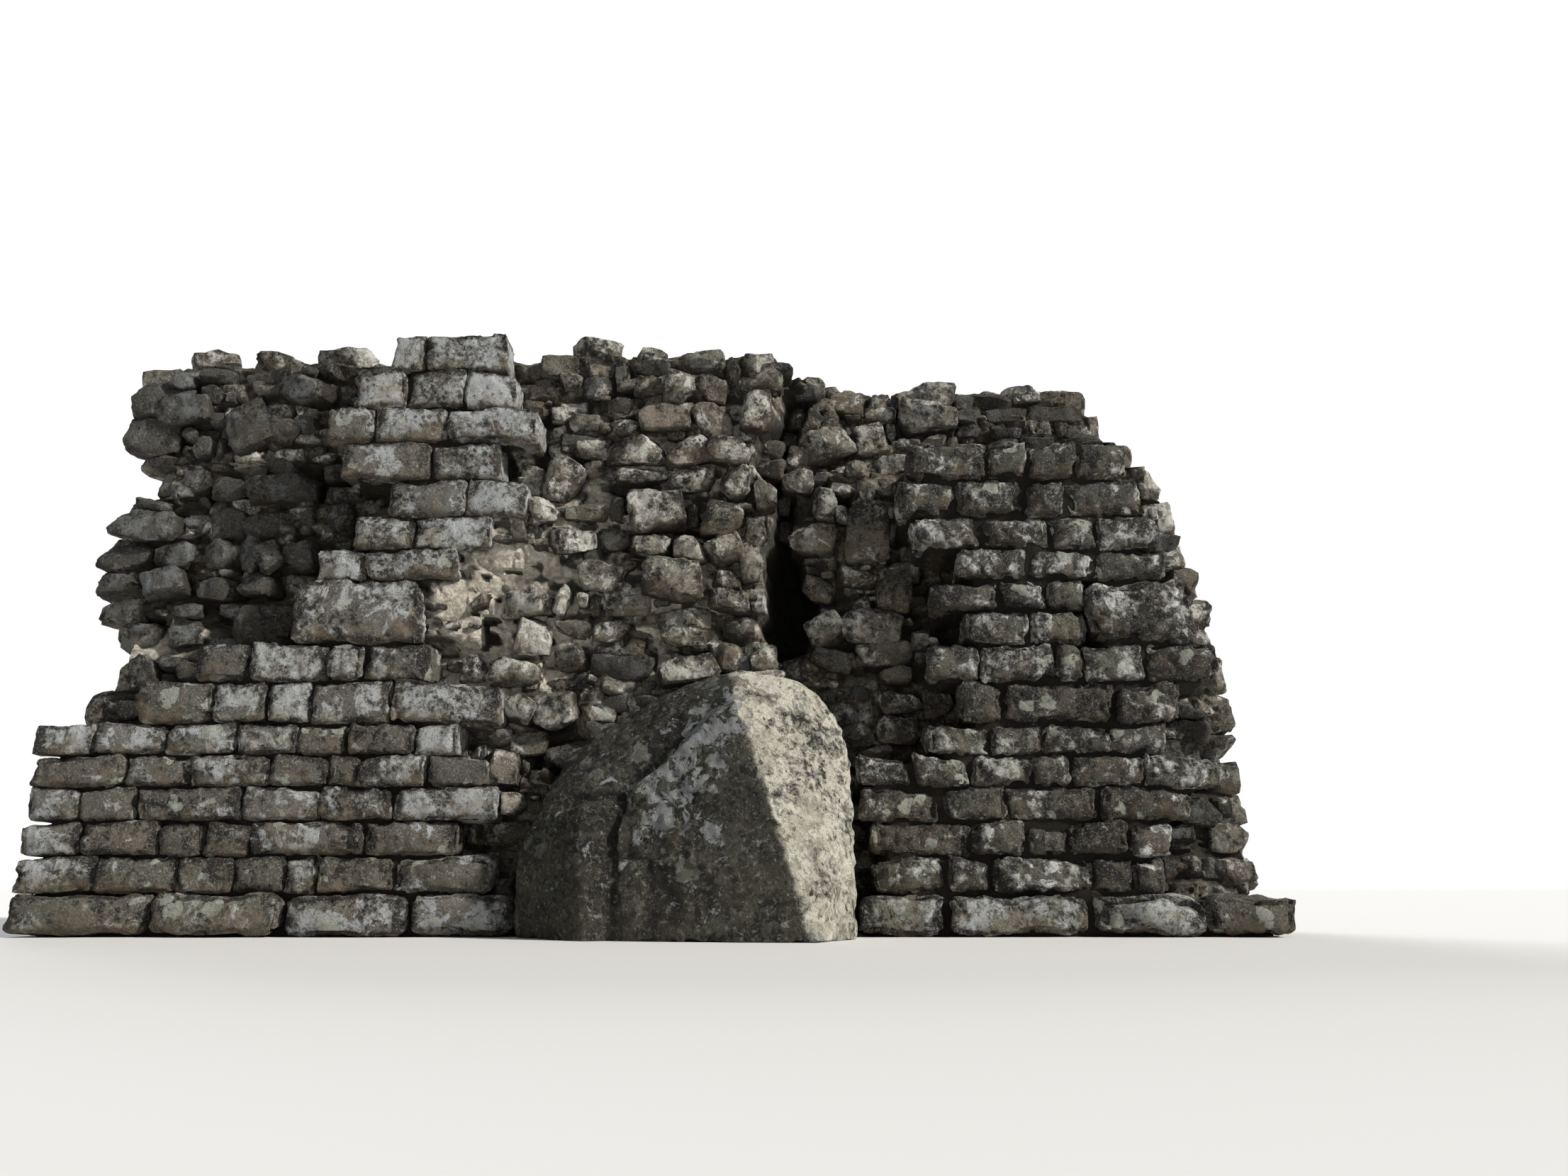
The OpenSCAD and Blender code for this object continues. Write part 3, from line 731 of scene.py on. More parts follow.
def stoneCells(x, z):
    # Uneven courses of cells, as rubble lies: the heights waver, each row is shifted by its own
    # amount and the joints are jittered. Returns two numbers per cell and the distance to its edge.
    layer, length, vary, seed = (cells[key] for key in ("layer", "length", "vary", "seed"))
    wave = np.stack([x, z, z * 0], 1)
    x = x + cells["sway"] * softNoise(wave, 0.13, seed + 1)
    z = z + cells["waver"] * softNoise(wave, 0.40, seed + 2)
    z = z + cells["fine"] * softNoise(wave, 0.11, seed + 3)
    row = np.floor(z / layer).astype(np.int64)
    up = z / layer - row
    along = x / length + 5 * latticeValue(row, 3, 0, seed)
    column = np.floor(along).astype(np.int64)
    part = along - column
    left = vary * (latticeValue(row, column, 1, seed) - 0.5)
    right = 1 + vary * (latticeValue(row, column + 1, 1, seed) - 0.5)
    column = column - (part < left) + (part > right)
    edge = np.minimum(np.abs(part - left), np.abs(part - right)) * length
    edge = np.minimum(edge, np.minimum(up, 1 - up) * layer)
    return latticeValue(row, column, 2, seed), latticeValue(row, column, 3, seed), edge


def coreFront(x, z):
    # Front of the core. Where blocks stand it is the mortar in their open joints. Elsewhere it is
    # the bare front with half-buried stones, lumps in three sizes, creases, and pits in whole mortar.
    # Returns y, how deep in a hollow each point lies (where the mortar is painted dark as algae and
    # painted shade), and the share and number of its stone.
    spot = np.stack([x, z * 0, z * 1.5], 1)
    lime, hollows = limeOf(x, z), hollowOf(x, z)
    big, middle, small = softNoise(spot, 0.36, 81), softNoise(spot, 0.10, 83), softNoise(spot, 0.042, 85)
    number, other, edge = stoneCells(x, z)
    buried = ease(edge, 0.004, 0.034) * ease(number, 0.18, 0.30) * ease(-lime, -0.7, -0.3)
    buried = buried * (1 - ease(besideRows(x, z), 0.10, 0.35))
    crease = ease(-np.abs(softNoise(spot, 0.085, 97)), -0.16, 0)
    crease = crease + ease(-np.abs(softNoise(spot, 0.19, 98)), -0.10, 0)
    pits = softNoise(spot, 0.055, 104)
    amount = coreRelief
    relief = amount["big"] * big + amount["middle"] * middle + amount["crease"] * crease
    relief = relief * (1 - 0.3 * lime) + amount["small"] * small
    relief = relief + amount["pit"] * lime * ease(pits, 0.35, 0.65) - amount["forward"]
    relief = relief + amount["behindLime"] * ease(-lime, -0.6, -0.2)
    relief = relief - buried * (amount["stone"] + amount["stoneMore"] * number) + hollows
    bare = bareFront(x, z) + relief
    joint = wall["faceY"] + core["jointDepth"] + amount["joint"] * middle
    cover = coverOf(x, z, 0.07)
    # the hollow value: algae and painted shade in the mortar, more in creases, lime pits, the cleft and
    # the hollows, and towards both ends of the wall
    hollow = 0.45 + 0.35 * middle + 0.35 * big + 0.3 * (1 - buried) - 0.6 * lime + 0.25 * crease
    hollow = hollow + 1.1 * lime * ease(pits, 0.30, 0.60) + cleftOf(x, z) + 6 * hollows
    hollow = np.clip(hollow + 0.22 * ease(np.abs(x - 0.15), 1.0, 1.5), 0, 2)
    return bare + (joint - bare) * cover, hollow, buried * (1 - cover), other


def coreEnd(z, side):
    # x of the core's end at a height, stepped from course to course
    insets = core["leftInset"] if side < 0 else core["rightInset"]
    course = np.clip(np.searchsorted(beds, z) - 2, 0, len(insets) - 1)
    return side * (wall["end"] - core["drawIn"] - np.array(insets)[course])


def coreEndAt(z, side):
    # the same at one height
    return float(coreEnd(np.array([z]), side)[0])


def nearerEnd(x, z):
    # x of the core's end on the side where each point lies
    return np.where(x < 0, coreEnd(z, -1), coreEnd(z, 1))


def withinCore(x, z, margin):
    # whether one place lies between the two ends of the core, at least a margin away from them
    return coreEndAt(z, -1) + margin < x < coreEndAt(z, 1) - margin


def coreSurface():
    # A YZ profile (front, top, rear, foot) carried along x in stations that crowd in the bare
    # middle. Outer stations are scaled to the stepped ends. There the profile is drawn together
    # across the thickness, onto a line inside the rear blocks, and closed on a pole in the wall.
    left, right, outmost = core["fineFrom"], core["fineTo"], core["outmost"]
    spans = zip((-outmost, left, right), (left, right, outmost), core["stations"])
    stations = [np.linspace(*span) for span in spans]
    stations = np.concatenate([stations[0][:-1], stations[1][:-1], stations[2]])
    frontRows, topRows, rearRows, footRows = core["rows"]
    up, across = np.linspace(0, 1, frontRows + 1)[:-1], np.linspace(0, 1, topRows + 1)[:-1]
    down, under = np.linspace(1, 0, rearRows + 1)[:-1], np.linspace(1, 0, footRows + 1)[:-1]
    zPart = np.concatenate([up, np.ones(topRows), down, np.zeros(footRows)])
    yPart = np.concatenate([np.zeros(frontRows), across, np.ones(rearRows), under])
    around = len(zPart)
    caps = np.linspace(1, 0, core["capRings"] + 1)[1:]
    k = np.repeat(np.concatenate([caps[::-1], np.ones(len(stations)), caps]), around)
    along = np.concatenate([np.full(len(caps), stations[0]), stations, np.full(len(caps), stations[-1])])
    x = np.repeat(along, around)
    zs, ys = np.tile(zPart, len(along)), np.tile(yPart, len(along))
    z = core["foot"] + (core["top"] - core["foot"]) * zs
    rear, line = wall["rearY"] - core["rearIn"], wall["rearY"] - core["lineIn"]
    flatY = line + (wall["coreSeat"] + (rear - wall["coreSeat"]) * ys - line) * k
    # the rear rows of the mesh are far apart, so they keep to the innermost course near them
    reach = nearerEnd(x, z)
    nearby = [np.abs(nearerEnd(x, z + step)) for step in (-0.2, -0.1, 0.1, 0.2)]
    inner = np.sign(x) * np.minimum.reduce([np.abs(reach), *nearby])
    reach = np.where(ys > 0.5, inner, reach)
    rough = layeredNoise(np.stack([flatY, z, ys * 0], 1), 0.16, 91)
    rough = 0.035 * rough * ease(flatY, rear, rear - 0.15) + 0.03 * ease(k, 0.85, 1.0)
    fine, outer = np.where(x < 0, left, right), np.where(x < 0, -outmost, outmost)
    moved = fine + (x - fine) * (reach - rough * np.sign(x) - fine) / (outer - fine)
    x = np.where((x < left) | (x > right), moved, x)
    front, cavity, buried, number = coreFront(x, z)
    y = line + (front + (rear - front) * ys - line) * k
    spot = np.stack([x, y, z], 1)
    bumps = 0.030 * softNoise(spot, 0.16, 93) + 0.014 * softNoise(spot, 0.05, 95)
    z = z + bumps * (zs > 0.985) * (k > 0.99)                  # on the top only
    verts = np.stack([x, y, z], 1)
    inward = np.array([core["closeIn"], 0, 0])    # the ends are carried into the wall before they close
    verts = np.concatenate([verts[:around] + inward, verts, verts[-around:] - inward])
    poles = [verts[:around].mean(0) + inward / 2], [verts[-around:].mean(0) - inward / 2]
    verts = np.concatenate([poles[0], verts, poles[1]])
    rings = len(along) + 2
    onFront = ((ys < 0.001) & (k > 0.99)).astype(float)
    elsewhere = 0.45 + 0.28 * softNoise(spot, 0.22, 99) + 0.15 * softNoise(spot, 0.07, 101)
    cavity = np.where(onFront > 0, cavity, elsewhere)
    # cavity and cover colour the mortar: cavity as algae and painted shade in hollows, cover as painted
    # shade in the open joints
    facts = {"lime": limeOf(x, z) * onFront, "cavity": cavity, "cover": coverOf(x, z) * onFront,
             "stone": buried * onFront, "tone": number, "warm": (number * 7.3 % 1) ** 2,
             "low": zs * 0 + 0.5, "arris": zs * 0}
    facts = {key: np.concatenate([value[:around + 1], value, value[-around - 1:]])
             for key, value in facts.items()}
    return verts, ringQuads(rings, around)[:, ::-1] + 1, poleFans(rings, around)[:, ::-1], facts


# the algae colour is partly algae and partly painted shade in hollows; the dark colour is painted shade in
# the deepest hollows and the open joints
mortarLook = {
    "lime": (0.36, 0.325, 0.265), "limePale": (0.64, 0.60, 0.52), "earth": (0.062, 0.051, 0.038),
    "earthPale": (0.185, 0.155, 0.115), "algaeAndShade": (0.030, 0.029, 0.023), "pebble": (0.36, 0.34, 0.30),
    "dark": (0.016, 0.014, 0.011), "bump": 1.0, "bumpDepth": 0.022,
}


def mortarMaterial(name, look, stoneLook):
    # Lime mortar: pale where it is whole, earth elsewhere, dark with algae and painted shade in hollows,
    # painted shade in the open joints, with sand and small pebbles in it, and granite where a stone lies
    # half buried
    mortar = StoneNodes(name)
    step, plus, times, paint = mortar.step, mortar.plus, mortar.times, mortar.paint
    facts = mortar.facts("lime", "cavity", "cover", "stone", "tone", "warm", "arris", "low")
    patch, sandy = mortar.noise(7.0, 5.0, 0.6), mortar.noise(30.0, 4.0, 0.6)
    pale = paint(step(sandy, 0.35, 0.65), look["lime"], look["limePale"])
    earth = paint(step(sandy, 0.4, 0.7), look["earth"], look["earthPale"])
    body = paint(step(plus(facts["lime"], times(patch, 0.9)), 0.50, 0.80), earth, pale)
    pebbles = addNode(mortar.tree, "ShaderNodeTexVoronoi", {"Vector": mortar.place, "Scale": 42.0})
    pebbles = pebbles.outputs["Distance"]
    body = paint(times(step(pebbles, 0.28, 0.18), 0.5), body, look["pebble"])
    rock, proud = graniteColour(mortar, stoneLook, facts)
    body = paint(step(facts["stone"], 0.35, 0.6), body, rock)
    # algae and painted shade where the cavity value is high, and near black painted shade where it is
    # highest
    algaeAndShade = plus(facts["cavity"], times(patch, 0.4))
    body = paint(times(step(algaeAndShade, 0.72, 1.05), 0.88), body, look["algaeAndShade"])
    body = paint(step(algaeAndShade, 1.2, 1.7), body, look["dark"])
    # painted shade, near black, in the open joints where blocks stand
    body = paint(times(facts["cover"], 0.92), body, look["dark"])
    height = mortar.less(graniteHeight(mortar, proud), times(pebbles, 0.25))
    return mortar.finish(body, height, look)


makePiece("wallCore", coreSurface(), mortarMaterial("limeMortar", mortarLook, rubbleLook),
          coreLifts)


# Rubble in the core

rubble = {
    "seed": 505, "cuts": 5, "skew": 0.14, "sharp": 80, "lumpSize": 0.070, "lump": 0.009,
    "grainSize": 0.030, "grain": 0.012, "layer": (0.085, 0.165), "length": (0.11, 0.34),
    "deep": (0.08, 0.12), "proud": (0.012, 0.068), "spacing": 0.0195, "gap": 0.004,
    "sideReach": (0.84, 0.98), "cutReach": (0.72, 1.06), "cornerReach": 1.36,   # of half the size
    "ownNoise": np.array([5.9, 8.3, 2.7]),        # from one stone's part of the noise to the next one's
    "roughFrom": 0.08,                            # smaller stones than this are smoother
    "soil": 1.0,                                  # how dark the tails are with soil
    "fromZ": 0.25, "toZ": 3.04, "thin": 0.06,     # heights of the layers, and share of places left out
    "limeThin": 1.5,                              # how much more is left out where the lime is whole
    "longest": 0.40, "shortest": 0.09, "sway": 0.010,
    "step": 0.47, "overlap": 0.38,                # room that a stone of the table takes, by its size
    # small stones between the others: width, rise as a share of it, depth, how proud, and heights
    "chipWidth": (0.05, 0.12), "chipRise": (0.35, 0.7), "chipDeep": 0.09, "chipProud": (-0.005, 0.03),
    "chipZ": (0.3, 3.0),
}
# Stones that stand out by themselves. In centimetres: middle along the wall, height, width, rise and how
# far proud. In hundredths: tone and warmth. In degrees, where it isn't 0: how far the right end hangs.
keyTable = [
    (-282, 286, 37, 26, 10, 30, 20), (-268, 279, 30, 17, 13, 45, 20), (-286, 264, 32, 22, 10, 25, 20, 5),
    (-272, 296, 15, 11, 12, 95, 30, 15), (-257, 289, 14, 11, 6, 35, 20), (-244, 288, 9, 8, 5, 35, 20),
    (-232, 271, 27, 35, 10, 35, 90, -20), (-204, 288, 33, 15, 14, 90, 20, 4),
    (-213, 266, 18, 19, 9, 30, 90, 10), (-202, 270, 21, 14, 6, 30, 30), (-256, 258, 11, 14, 7, 45, 20),
    (-278, 250, 17, 7, 5, 35, 30), (-259, 238, 15, 13, 8, 50, 20, 10), (-238, 233, 21, 13, 7, 35, 10),
    (-209, 232, 40, 16, 11, 40, 30, -3), (-215, 248, 26, 12, 5, 30, 30, 15),
    (-282, 225, 20, 9, 6, 35, 30, 10), (-283, 212, 41, 17, 12, 90, 10, 8), (-240, 213, 23, 18, 7, 30, 20),
    (-218, 213, 31, 16, 5, 15, 30), (-197, 215, 10, 15, 5, 25, 40), (-175, 216, 14, 18, 12, 40, 30),
    (-293, 195, 29, 18, 8, 35, 20), (-267, 195, 23, 15, 12, 80, 30), (-240, 196, 17, 15, 10, 50, 60, -15),
    (-225, 196, 16, 21, 7, 45, 30, -35), (-213, 194, 15, 16, 12, 55, 10, -30),
    (-196, 194, 20, 17, 7, 40, 20), (-294, 180, 25, 16, 12, 25, 60, -5), (-268, 180, 28, 18, 15, 95, 10),
    (-240, 178, 21, 13, 7, 20, 0, 5), (-218, 179, 21, 11, 9, 45, 30, 5), (-255, 165, 15, 8, 7, 50, 80),
    (-233, 166, 12, 8, 6, 40, 90), (-256, 154, 20, 16, 5, 45, 60), (-211, 160, 34, 28, 5, 12, 40),
    (-274, 132, 15, 18, 10, 75, 40, -15), (-249, 132, 15, 12, 7, 25, 100, -8),
    (-260, 138, 14, 8, 6, 35, 50, 5), (98, 301, 26, 20, 5, 25, 60), (151, 300, 21, 19, 10, 60, 20, 10),
    (167, 298, 11, 10, 7, 55, 70), (144, 285, 34, 22, 12, 85, 10, 12), (88, 277, 15, 13, 6, 25, 50, -20),
    (86, 264, 30, 20, 12, 70, 40, -18), (111, 270, 21, 21, 12, 80, 30, -8), (146, 268, 17, 9, 7, 70, 20),
    (69, 240, 19, 14, 8, 40, 20), (102, 246, 14, 11, 7, 50, 40), (83, 227, 14, 21, 10, 75, 0),
    (93, 236, 14, 10, 7, 45, 20, 20), (106, 233, 10, 18, 6, 35, 70, -10), (94, 220, 7, 10, 13, 100, 20),
    (79, 207, 26, 20, 10, 45, 80, 5), (108, 209, 24, 37, 8, 25, 30), (102, 185, 24, 11, 10, 40, 100, 4),
    (81, 181, 21, 15, 6, 40, 50, 20), (120, 176, 20, 22, 9, 25, 80), (104, 170, 11, 12, 5, 45, 80, -20),
    (85, 156, 21, 18, 12, 60, 20, -25), (110, 157, 31, 17, 11, 55, 20, 5),
    (87, 141, 25, 12, 7, 30, 10, 15), (116, 143, 30, 14, 9, 45, 20, -5), (121, 131, 18, 10, 8, 40, 20),
    (-71, 167, 28, 16, 10, 60, 10), (-53, 168, 8, 16, 11, 100, 40, 25), (-43, 168, 7, 8, 10, 100, 40),
    (-19, 167, 29, 17, 5, 45, 20), (-68, 149, 21, 21, 11, 95, 30, 10), (-76, 130, 27, 17, 11, 75, 20),
    (-98, 132, 16, 14, 8, 70, 30), (-73, 111, 20, 16, 14, 95, 50, 20), (-54, 110, 25, 20, 13, 55, 30),
    (-48, 153, 20, 11, 5, 40, 10, 10), (-29, 153, 19, 12, 7, 45, 20, -5),
    (-22, 123, 22, 11, 8, 50, 20, -4), (12, 131, 33, 15, 10, 75, 0, -6), (12, 154, 28, 21, 8, 45, 50),
    (-68, 94, 19, 13, 7, 40, 10), (-79, 81, 18, 19, 17, 75, 40), (-74, 63, 13, 12, 17, 80, 40),
    (-54, 290, 14, 11, 8, 50, 40), (-26, 293, 10, 15, 7, 60, 20), (-13, 288, 16, 14, 8, 60, 30),
    (6, 285, 18, 20, 12, 60, 20), (23, 285, 16, 17, 6, 45, 20), (34, 297, 8, 15, 5, 45, 30),
    (-60, 273, 11, 9, 7, 55, 40), (-43, 267, 24, 13, 6, 40, 50), (-2, 267, 27, 14, 12, 45, 60),
    (24, 267, 23, 21, 7, 45, 40), (47, 272, 18, 23, 10, 80, 40), (-16, 250, 33, 16, 12, 70, 40, 3),
    (11, 249, 25, 17, 12, 85, 50), (34, 248, 25, 16, 12, 65, 40, 5), (-57, 236, 23, 23, 12, 85, 60, 25),
    (-74, 235, 15, 17, 5, 60, 40), (-14, 236, 33, 9, 10, 85, 40), (14, 234, 24, 17, 11, 60, 30),
    (37, 230, 18, 20, 12, 90, 30), (52, 225, 12, 15, 8, 70, 10), (-5, 216, 34, 22, 14, 65, 40),
    (30, 212, 22, 22, 14, 60, 60), (-65, 214, 17, 13, 10, 95, 40), (-44, 215, 26, 10, 6, 30, 40),
    (47, 205, 12, 18, 6, 50, 10), (-49, 199, 24, 13, 10, 90, 30), (-7, 196, 21, 11, 12, 90, 20),
    (12, 195, 20, 13, 12, 75, 50, 8), (30, 194, 20, 18, 12, 85, 20, -25), (46, 188, 14, 21, 7, 60, 20),
    (-32, 181, 27, 18, 8, 60, 10), (5, 178, 34, 22, 16, 50, 50, 3), (32, 167, 24, 11, 10, 60, 20, 5),
    (17, 159, 16, 13, 6, 50, 30), (-18, 166, 26, 13, 7, 50, 20, -8), (124, 117, 28, 11, 7, 80, 20),
    (123, 102, 23, 15, 7, 75, 20), (110, 90, 18, 10, 6, 40, 40), (142, 118, 16, 17, 6, 30, 30),
]
keyStones = [(*(number / 100 for number in row[:7]), sum(row[7:])) for row in keyTable]


def addRubble(heap, x, z, width, rise, proud, setting, rng, tilt=0.10, roll=0, look=None):
    # a stone whose face stands proud of the bare core at its place
    deep = rng.uniform(*setting["deep"])
    half = np.array([width / 2, deep, rise / 2])
    y = at(bareFront, x, z) - proud + deep
    steps = [stepsOver(size, setting["spacing"], 5, 18) for size in half]
    facts = {"tone": 0.9 * rng.uniform() ** 1.5, "warm": rng.uniform(0, 0.9) ** 1.5,
             "rough": rng.uniform(0.7, 1.3)}
    facts.update(look or {})
    turn = rng.normal(0, [tilt, tilt, tilt * 1.5]) - [0, math.radians(roll), 0]
    heap.add((x, y, z), half, (steps[0], 6, steps[2], 4), turn, **facts)


def addKeyStones(heap, fromX, toX, setting, rng):
    # the stones of the table in one length of the wall
    for x, z, width, rise, proud, tone, warm, roll in keyStones:
        if fromX <= x < toX:
            proud = proud + 0.04 * ease(x, 0.58, 0.66)         # right of the cleft they stand out further
            addRubble(heap, x, z, width, rise, proud, setting, rng, 0.05, roll,
                      {"tone": tone, "warm": warm})


def openStretches(z, rise, fromX, toX):
    # stretches of a layer that no stone of the table takes up
    step, overlap = rubble["step"], rubble["overlap"]
    taken = sorted((x - width * step, x + width * step) for x, height, width, tall in
                   (row[:4] for row in keyStones) if abs(z - height) < (tall + rise) * overlap)
    starts = np.maximum.accumulate([fromX] + [high for low, high in taken])
    stops = [low for low, high in taken] + [toX]
    return [(start, stop) for start, stop in zip(starts, stops) if stop - start > 0.06]


def layRubble(heap, fromX, toX, setting, rng):
    # Layers of stones, each laid from left to right with lengths as they come, in the stretches
    # where the core is bare and the table leaves room
    z = setting["fromZ"]
    while z < setting["toZ"]:
        rise = rng.uniform(*setting["layer"])
        for start, stop in openStretches(z + rise / 2, rise, fromX, toX):
            x = start
            while x < stop - 0.05:
                width = rng.uniform(*setting["length"])
                width = stop - x if stop - x - width < setting["shortest"] else width
                width = min(width, setting["longest"])
                cx, cz = x + width / 2, z + rise / 2 + rng.normal(0, setting["sway"])
                x += width
                spots = np.array([cx - width * 0.4, cx, cx + width * 0.4]), np.full(3, cz)
                taken = coverOf(*spots).max() > 0.3 or cleftOf(*spots).max() > 0.4
                if taken or not withinCore(cx, cz, width / 2):
                    continue
                if rng.uniform() < setting["thin"] + setting["limeThin"] * at(limeOf, cx, cz) ** 2:
                    continue
                addRubble(heap, cx, cz, width - setting["gap"], rise - setting["gap"],
                          rng.uniform(*setting["proud"]), setting, rng)
        z += rise + setting["gap"] * 0.5


def addChips(heap, fromX, toX, count, setting, rng):
    # small stones and lumps of mortar, wedged between the others wherever the core is bare
    for x, z, width in zip(rng.uniform(fromX, toX, count), rng.uniform(*setting["chipZ"], count),
                           rng.uniform(*setting["chipWidth"], count)):
        spots = np.array([x - 0.05, x, x + 0.05]), np.full(3, z)
        if withinCore(x, z, 0.06) and coverOf(*spots).max() < 0.2 and cleftOf(*spots).max() < 0.3:
            y = at(bareFront, x, z) - rng.uniform(*setting["chipProud"])
            half = np.array([width, setting["chipDeep"], width * rng.uniform(*setting["chipRise"])]) / 2
            heap.add((x, y, z), half, (7, 3, 5, 3), rng.normal(0, 0.25, 3), 0.6,
                     rng.uniform(0, 0.9), rng.uniform(0, 0.8))


def lineCleft(heap, setting, rng):
    # stones whose ends line the cleft on both sides, in layers, where the table has none
    height = setting["fromZ"]
    while height < setting["toZ"]:
        for edge, side in (("cleftLeft", -1), ("cleftRight", 1)):
            width, rise = rng.uniform(*setting["length"]), rng.uniform(*setting["layer"])
            z = height + rise / 2
            x = np.interp(z, core["cleftZ"], core[edge]) + side * (width / 2 + rng.uniform(-0.03, 0.01))
            if not any(abs(x - k[0]) < 0.13 and abs(z - k[1]) < 0.10 for k in keyStones):
                addRubble(heap, x, z, width, rise, rng.uniform(*setting["proud"]), setting, rng, 0.08,
                          look={"tone": rng.uniform(0.1, 0.6)})
        height += rise + 0.01


def wedgeCleft(heap, setting, rng):
    # stones wedged half way between the cleft's two edges
    for z in setting["heights"]:
        x = sum(np.interp(z, core["cleftZ"], core[edge]) for edge in ("cleftLeft", "cleftRight")) / 2
        width, rise = rng.uniform(*setting["length"]), rng.uniform(*setting["layer"])
        addRubble(heap, x, z, width, rise, rng.uniform(*setting["proud"]), setting, rng, 0.15,
                  look={"tone": 0.1})


rubbleRng = np.random.default_rng(rubble["seed"])
rubbleGranite = stoneMaterial("rubbleGranite", rubbleLook)
liningStones = dict(rubble, fromZ=1.52, toZ=2.95, length=(0.14, 0.26), layer=(0.10, 0.17),
                    proud=(0.0, 0.06), deep=(0.13, 0.17))
wedgedStones = dict(rubble, heights=(2.20, 2.34, 2.47, 2.60, 2.74, 2.86), length=(0.11, 0.18),
                    layer=(0.09, 0.14), proud=(0.02, 0.10))
middleHeap = StoneHeap()
addKeyStones(middleHeap, core["fineFrom"], core["fineTo"], rubble, rubbleRng)
lineCleft(middleHeap, liningStones, rubbleRng)
wedgeCleft(middleHeap, wedgedStones, rubbleRng)
layRubble(middleHeap, -1.25, core["fineTo"], rubble, rubbleRng)
addChips(middleHeap, -1.2, core["fineTo"], 170, rubble, rubbleRng)
verts, quads, tris, facts = brokenStones(middleHeap, rubble)
limed = ease(limeOf(verts[:, 0], verts[:, 2]), 0.45, 0.95)   # whitened where the mortar is whole
facts["tone"] = np.clip(facts["tone"] + 0.30 * limed, 0, 1)
facts["arris"] = facts["arris"] * (1 - 0.4 * limed)
makePiece("coreStones", (verts, quads, tris, facts), rubbleGranite)

outerHeap = StoneHeap()
outerStyle = dict(rubble, seed=606, spacing=0.023, thin=0.04)
addKeyStones(outerHeap, -3.1, core["fineFrom"], rubble, rubbleRng)
addKeyStones(outerHeap, core["fineTo"], 3.1, rubble, rubbleRng)
layRubble(outerHeap, -3.05, -1.25, outerStyle, rubbleRng)
layRubble(outerHeap, core["fineTo"], 3.05, outerStyle, rubbleRng)
addChips(outerHeap, -3.0, -1.25, 60, rubble, rubbleRng)
verts, quads, tris, facts = brokenStones(outerHeap, outerStyle)
facts["tail"] = facts["tail"] * ease(-np.abs(verts[:, 0]), -2.9, -2.55)   # bare at the open ends
# the outer stones are painted darker: partly damp, partly painted shade
makePiece("outerRubble", (verts, quads, tris, facts), stoneMaterial("dampShadedGranite", dampShadedLook))
print("rubble stones:", middleHeap.count, outerHeap.count)


# Ends of the wall

# no soil, because the faces of these stones look along the wall
endStyle = dict(rubble, seed=707, spacing=0.040, length=(0.15, 0.34), skew=0.16, thick=0.12, soil=0.0)


def layEnd(heap, side, setting, rng):
    # layers of stones across the thickness of the wall, with their faces on the core's end
    for z0, z1 in zip(beds[:-1], beds[1:]):
        if z1 - z0 < 0.05:
            continue
        z = (z0 + z1) / 2
        end = coreEndAt(z, side)
        front = at(bareFront, end - side * 0.1, z) - 0.03
        y = wall["coreSeat"] + rng.uniform(-0.02, 0.02)
        while y < wall["rearSeat"] - 0.04:
            width = min(rng.uniform(*setting["length"]), wall["rearSeat"] + 0.03 - y)
            if y < front:
                y += 0.05
                continue
            half = np.array([setting["thick"], width * 0.53, (z1 - z0) * 0.52])
            x = end + side * (core["drawIn"] - 0.004 - rng.uniform(0.0, 0.035)) - side * half[0]
            steps = [stepsOver(size, setting["spacing"], 4, 9) for size in half]
            heap.add((x, y + width / 2, z), half, (*steps, 3), rng.normal(0, 0.03, 3),
                     rng.uniform(0.7, 1.2), rng.uniform(0, 0.8), rng.uniform(0, 0.6))
            y += width


endHeap = StoneHeap()
endRng = np.random.default_rng(endStyle["seed"])
layEnd(endHeap, -1, endStyle, endRng)
layEnd(endHeap, 1, endStyle, endRng)
makePiece("endRubble", brokenStones(endHeap, endStyle), rubbleGranite)


# Boulder

boulder = {
    "around": 250, "up": 180, "crowd": 0.4, "sharp": 200, "lump": 0.014, "lumpSize": 0.42, "dent": 0.016,
    "dentSize": 0.10, "grain": 0.0100, "grainSize": 0.034, "lobe": 0.10, "crack": 0.055, "groove": 0.055,
    "heart": 0.42,                              # height of the rays' source, as a share of the whole
    "lobeTop": (-0.5, 0.62, 0.10),              # x and z of a point on its upper edge, and its slope
    "lobeSide": -0.16,                          # x of its right edge
    "arris": (0.375, 1.10, 0.33),               # x and z of a point of it, and its lean to the right
    "seam": ((0.34, 1.13), (-0.19, 0.64)),      # two points of the seam across the left side, x and z
    "patches": [(0.27, 1.20, 0.11), (0.36, 1.05, 0.08), (0.20, 1.06, 0.07), (0.31, 0.93, 0.10),
                (0.14, 0.92, 0.08), (0.22, 0.78, 0.10), (0.06, 0.70, 0.07), (0.20, 0.62, 0.07),
                (0.09, 0.52, 0.09), (0.30, 0.48, 0.06), (-0.06, 0.50, 0.06), (-0.30, 0.84, 0.06)],
}


def hullPlanes(node):
    # each triangle of a convex node gives a plane that bounds it: its normal and how far out it lies
    mesh = nodes[node].data
    mesh.calc_loop_triangles()
    co = np.empty(len(mesh.vertices) * 3)
    mesh.vertices.foreach_get("co", co)
    corners = np.empty(len(mesh.loop_triangles) * 3, int)
    mesh.loop_triangles.foreach_get("vertices", corners)
    a, b, c = (co.reshape(-1, 3)[corners.reshape(-1, 3)[:, i]] for i in range(3))
    normal = np.cross(b - a, c - a)
    area = np.linalg.norm(normal, axis=1)
    whole = area > 1e-9
    normal = normal[whole] / area[whole, None]
    reach = (normal * a[whole]).sum(1)
    table = np.unique(np.round(np.column_stack([normal, reach]), 3), axis=0)
    return table[:, :3], table[:, 3]


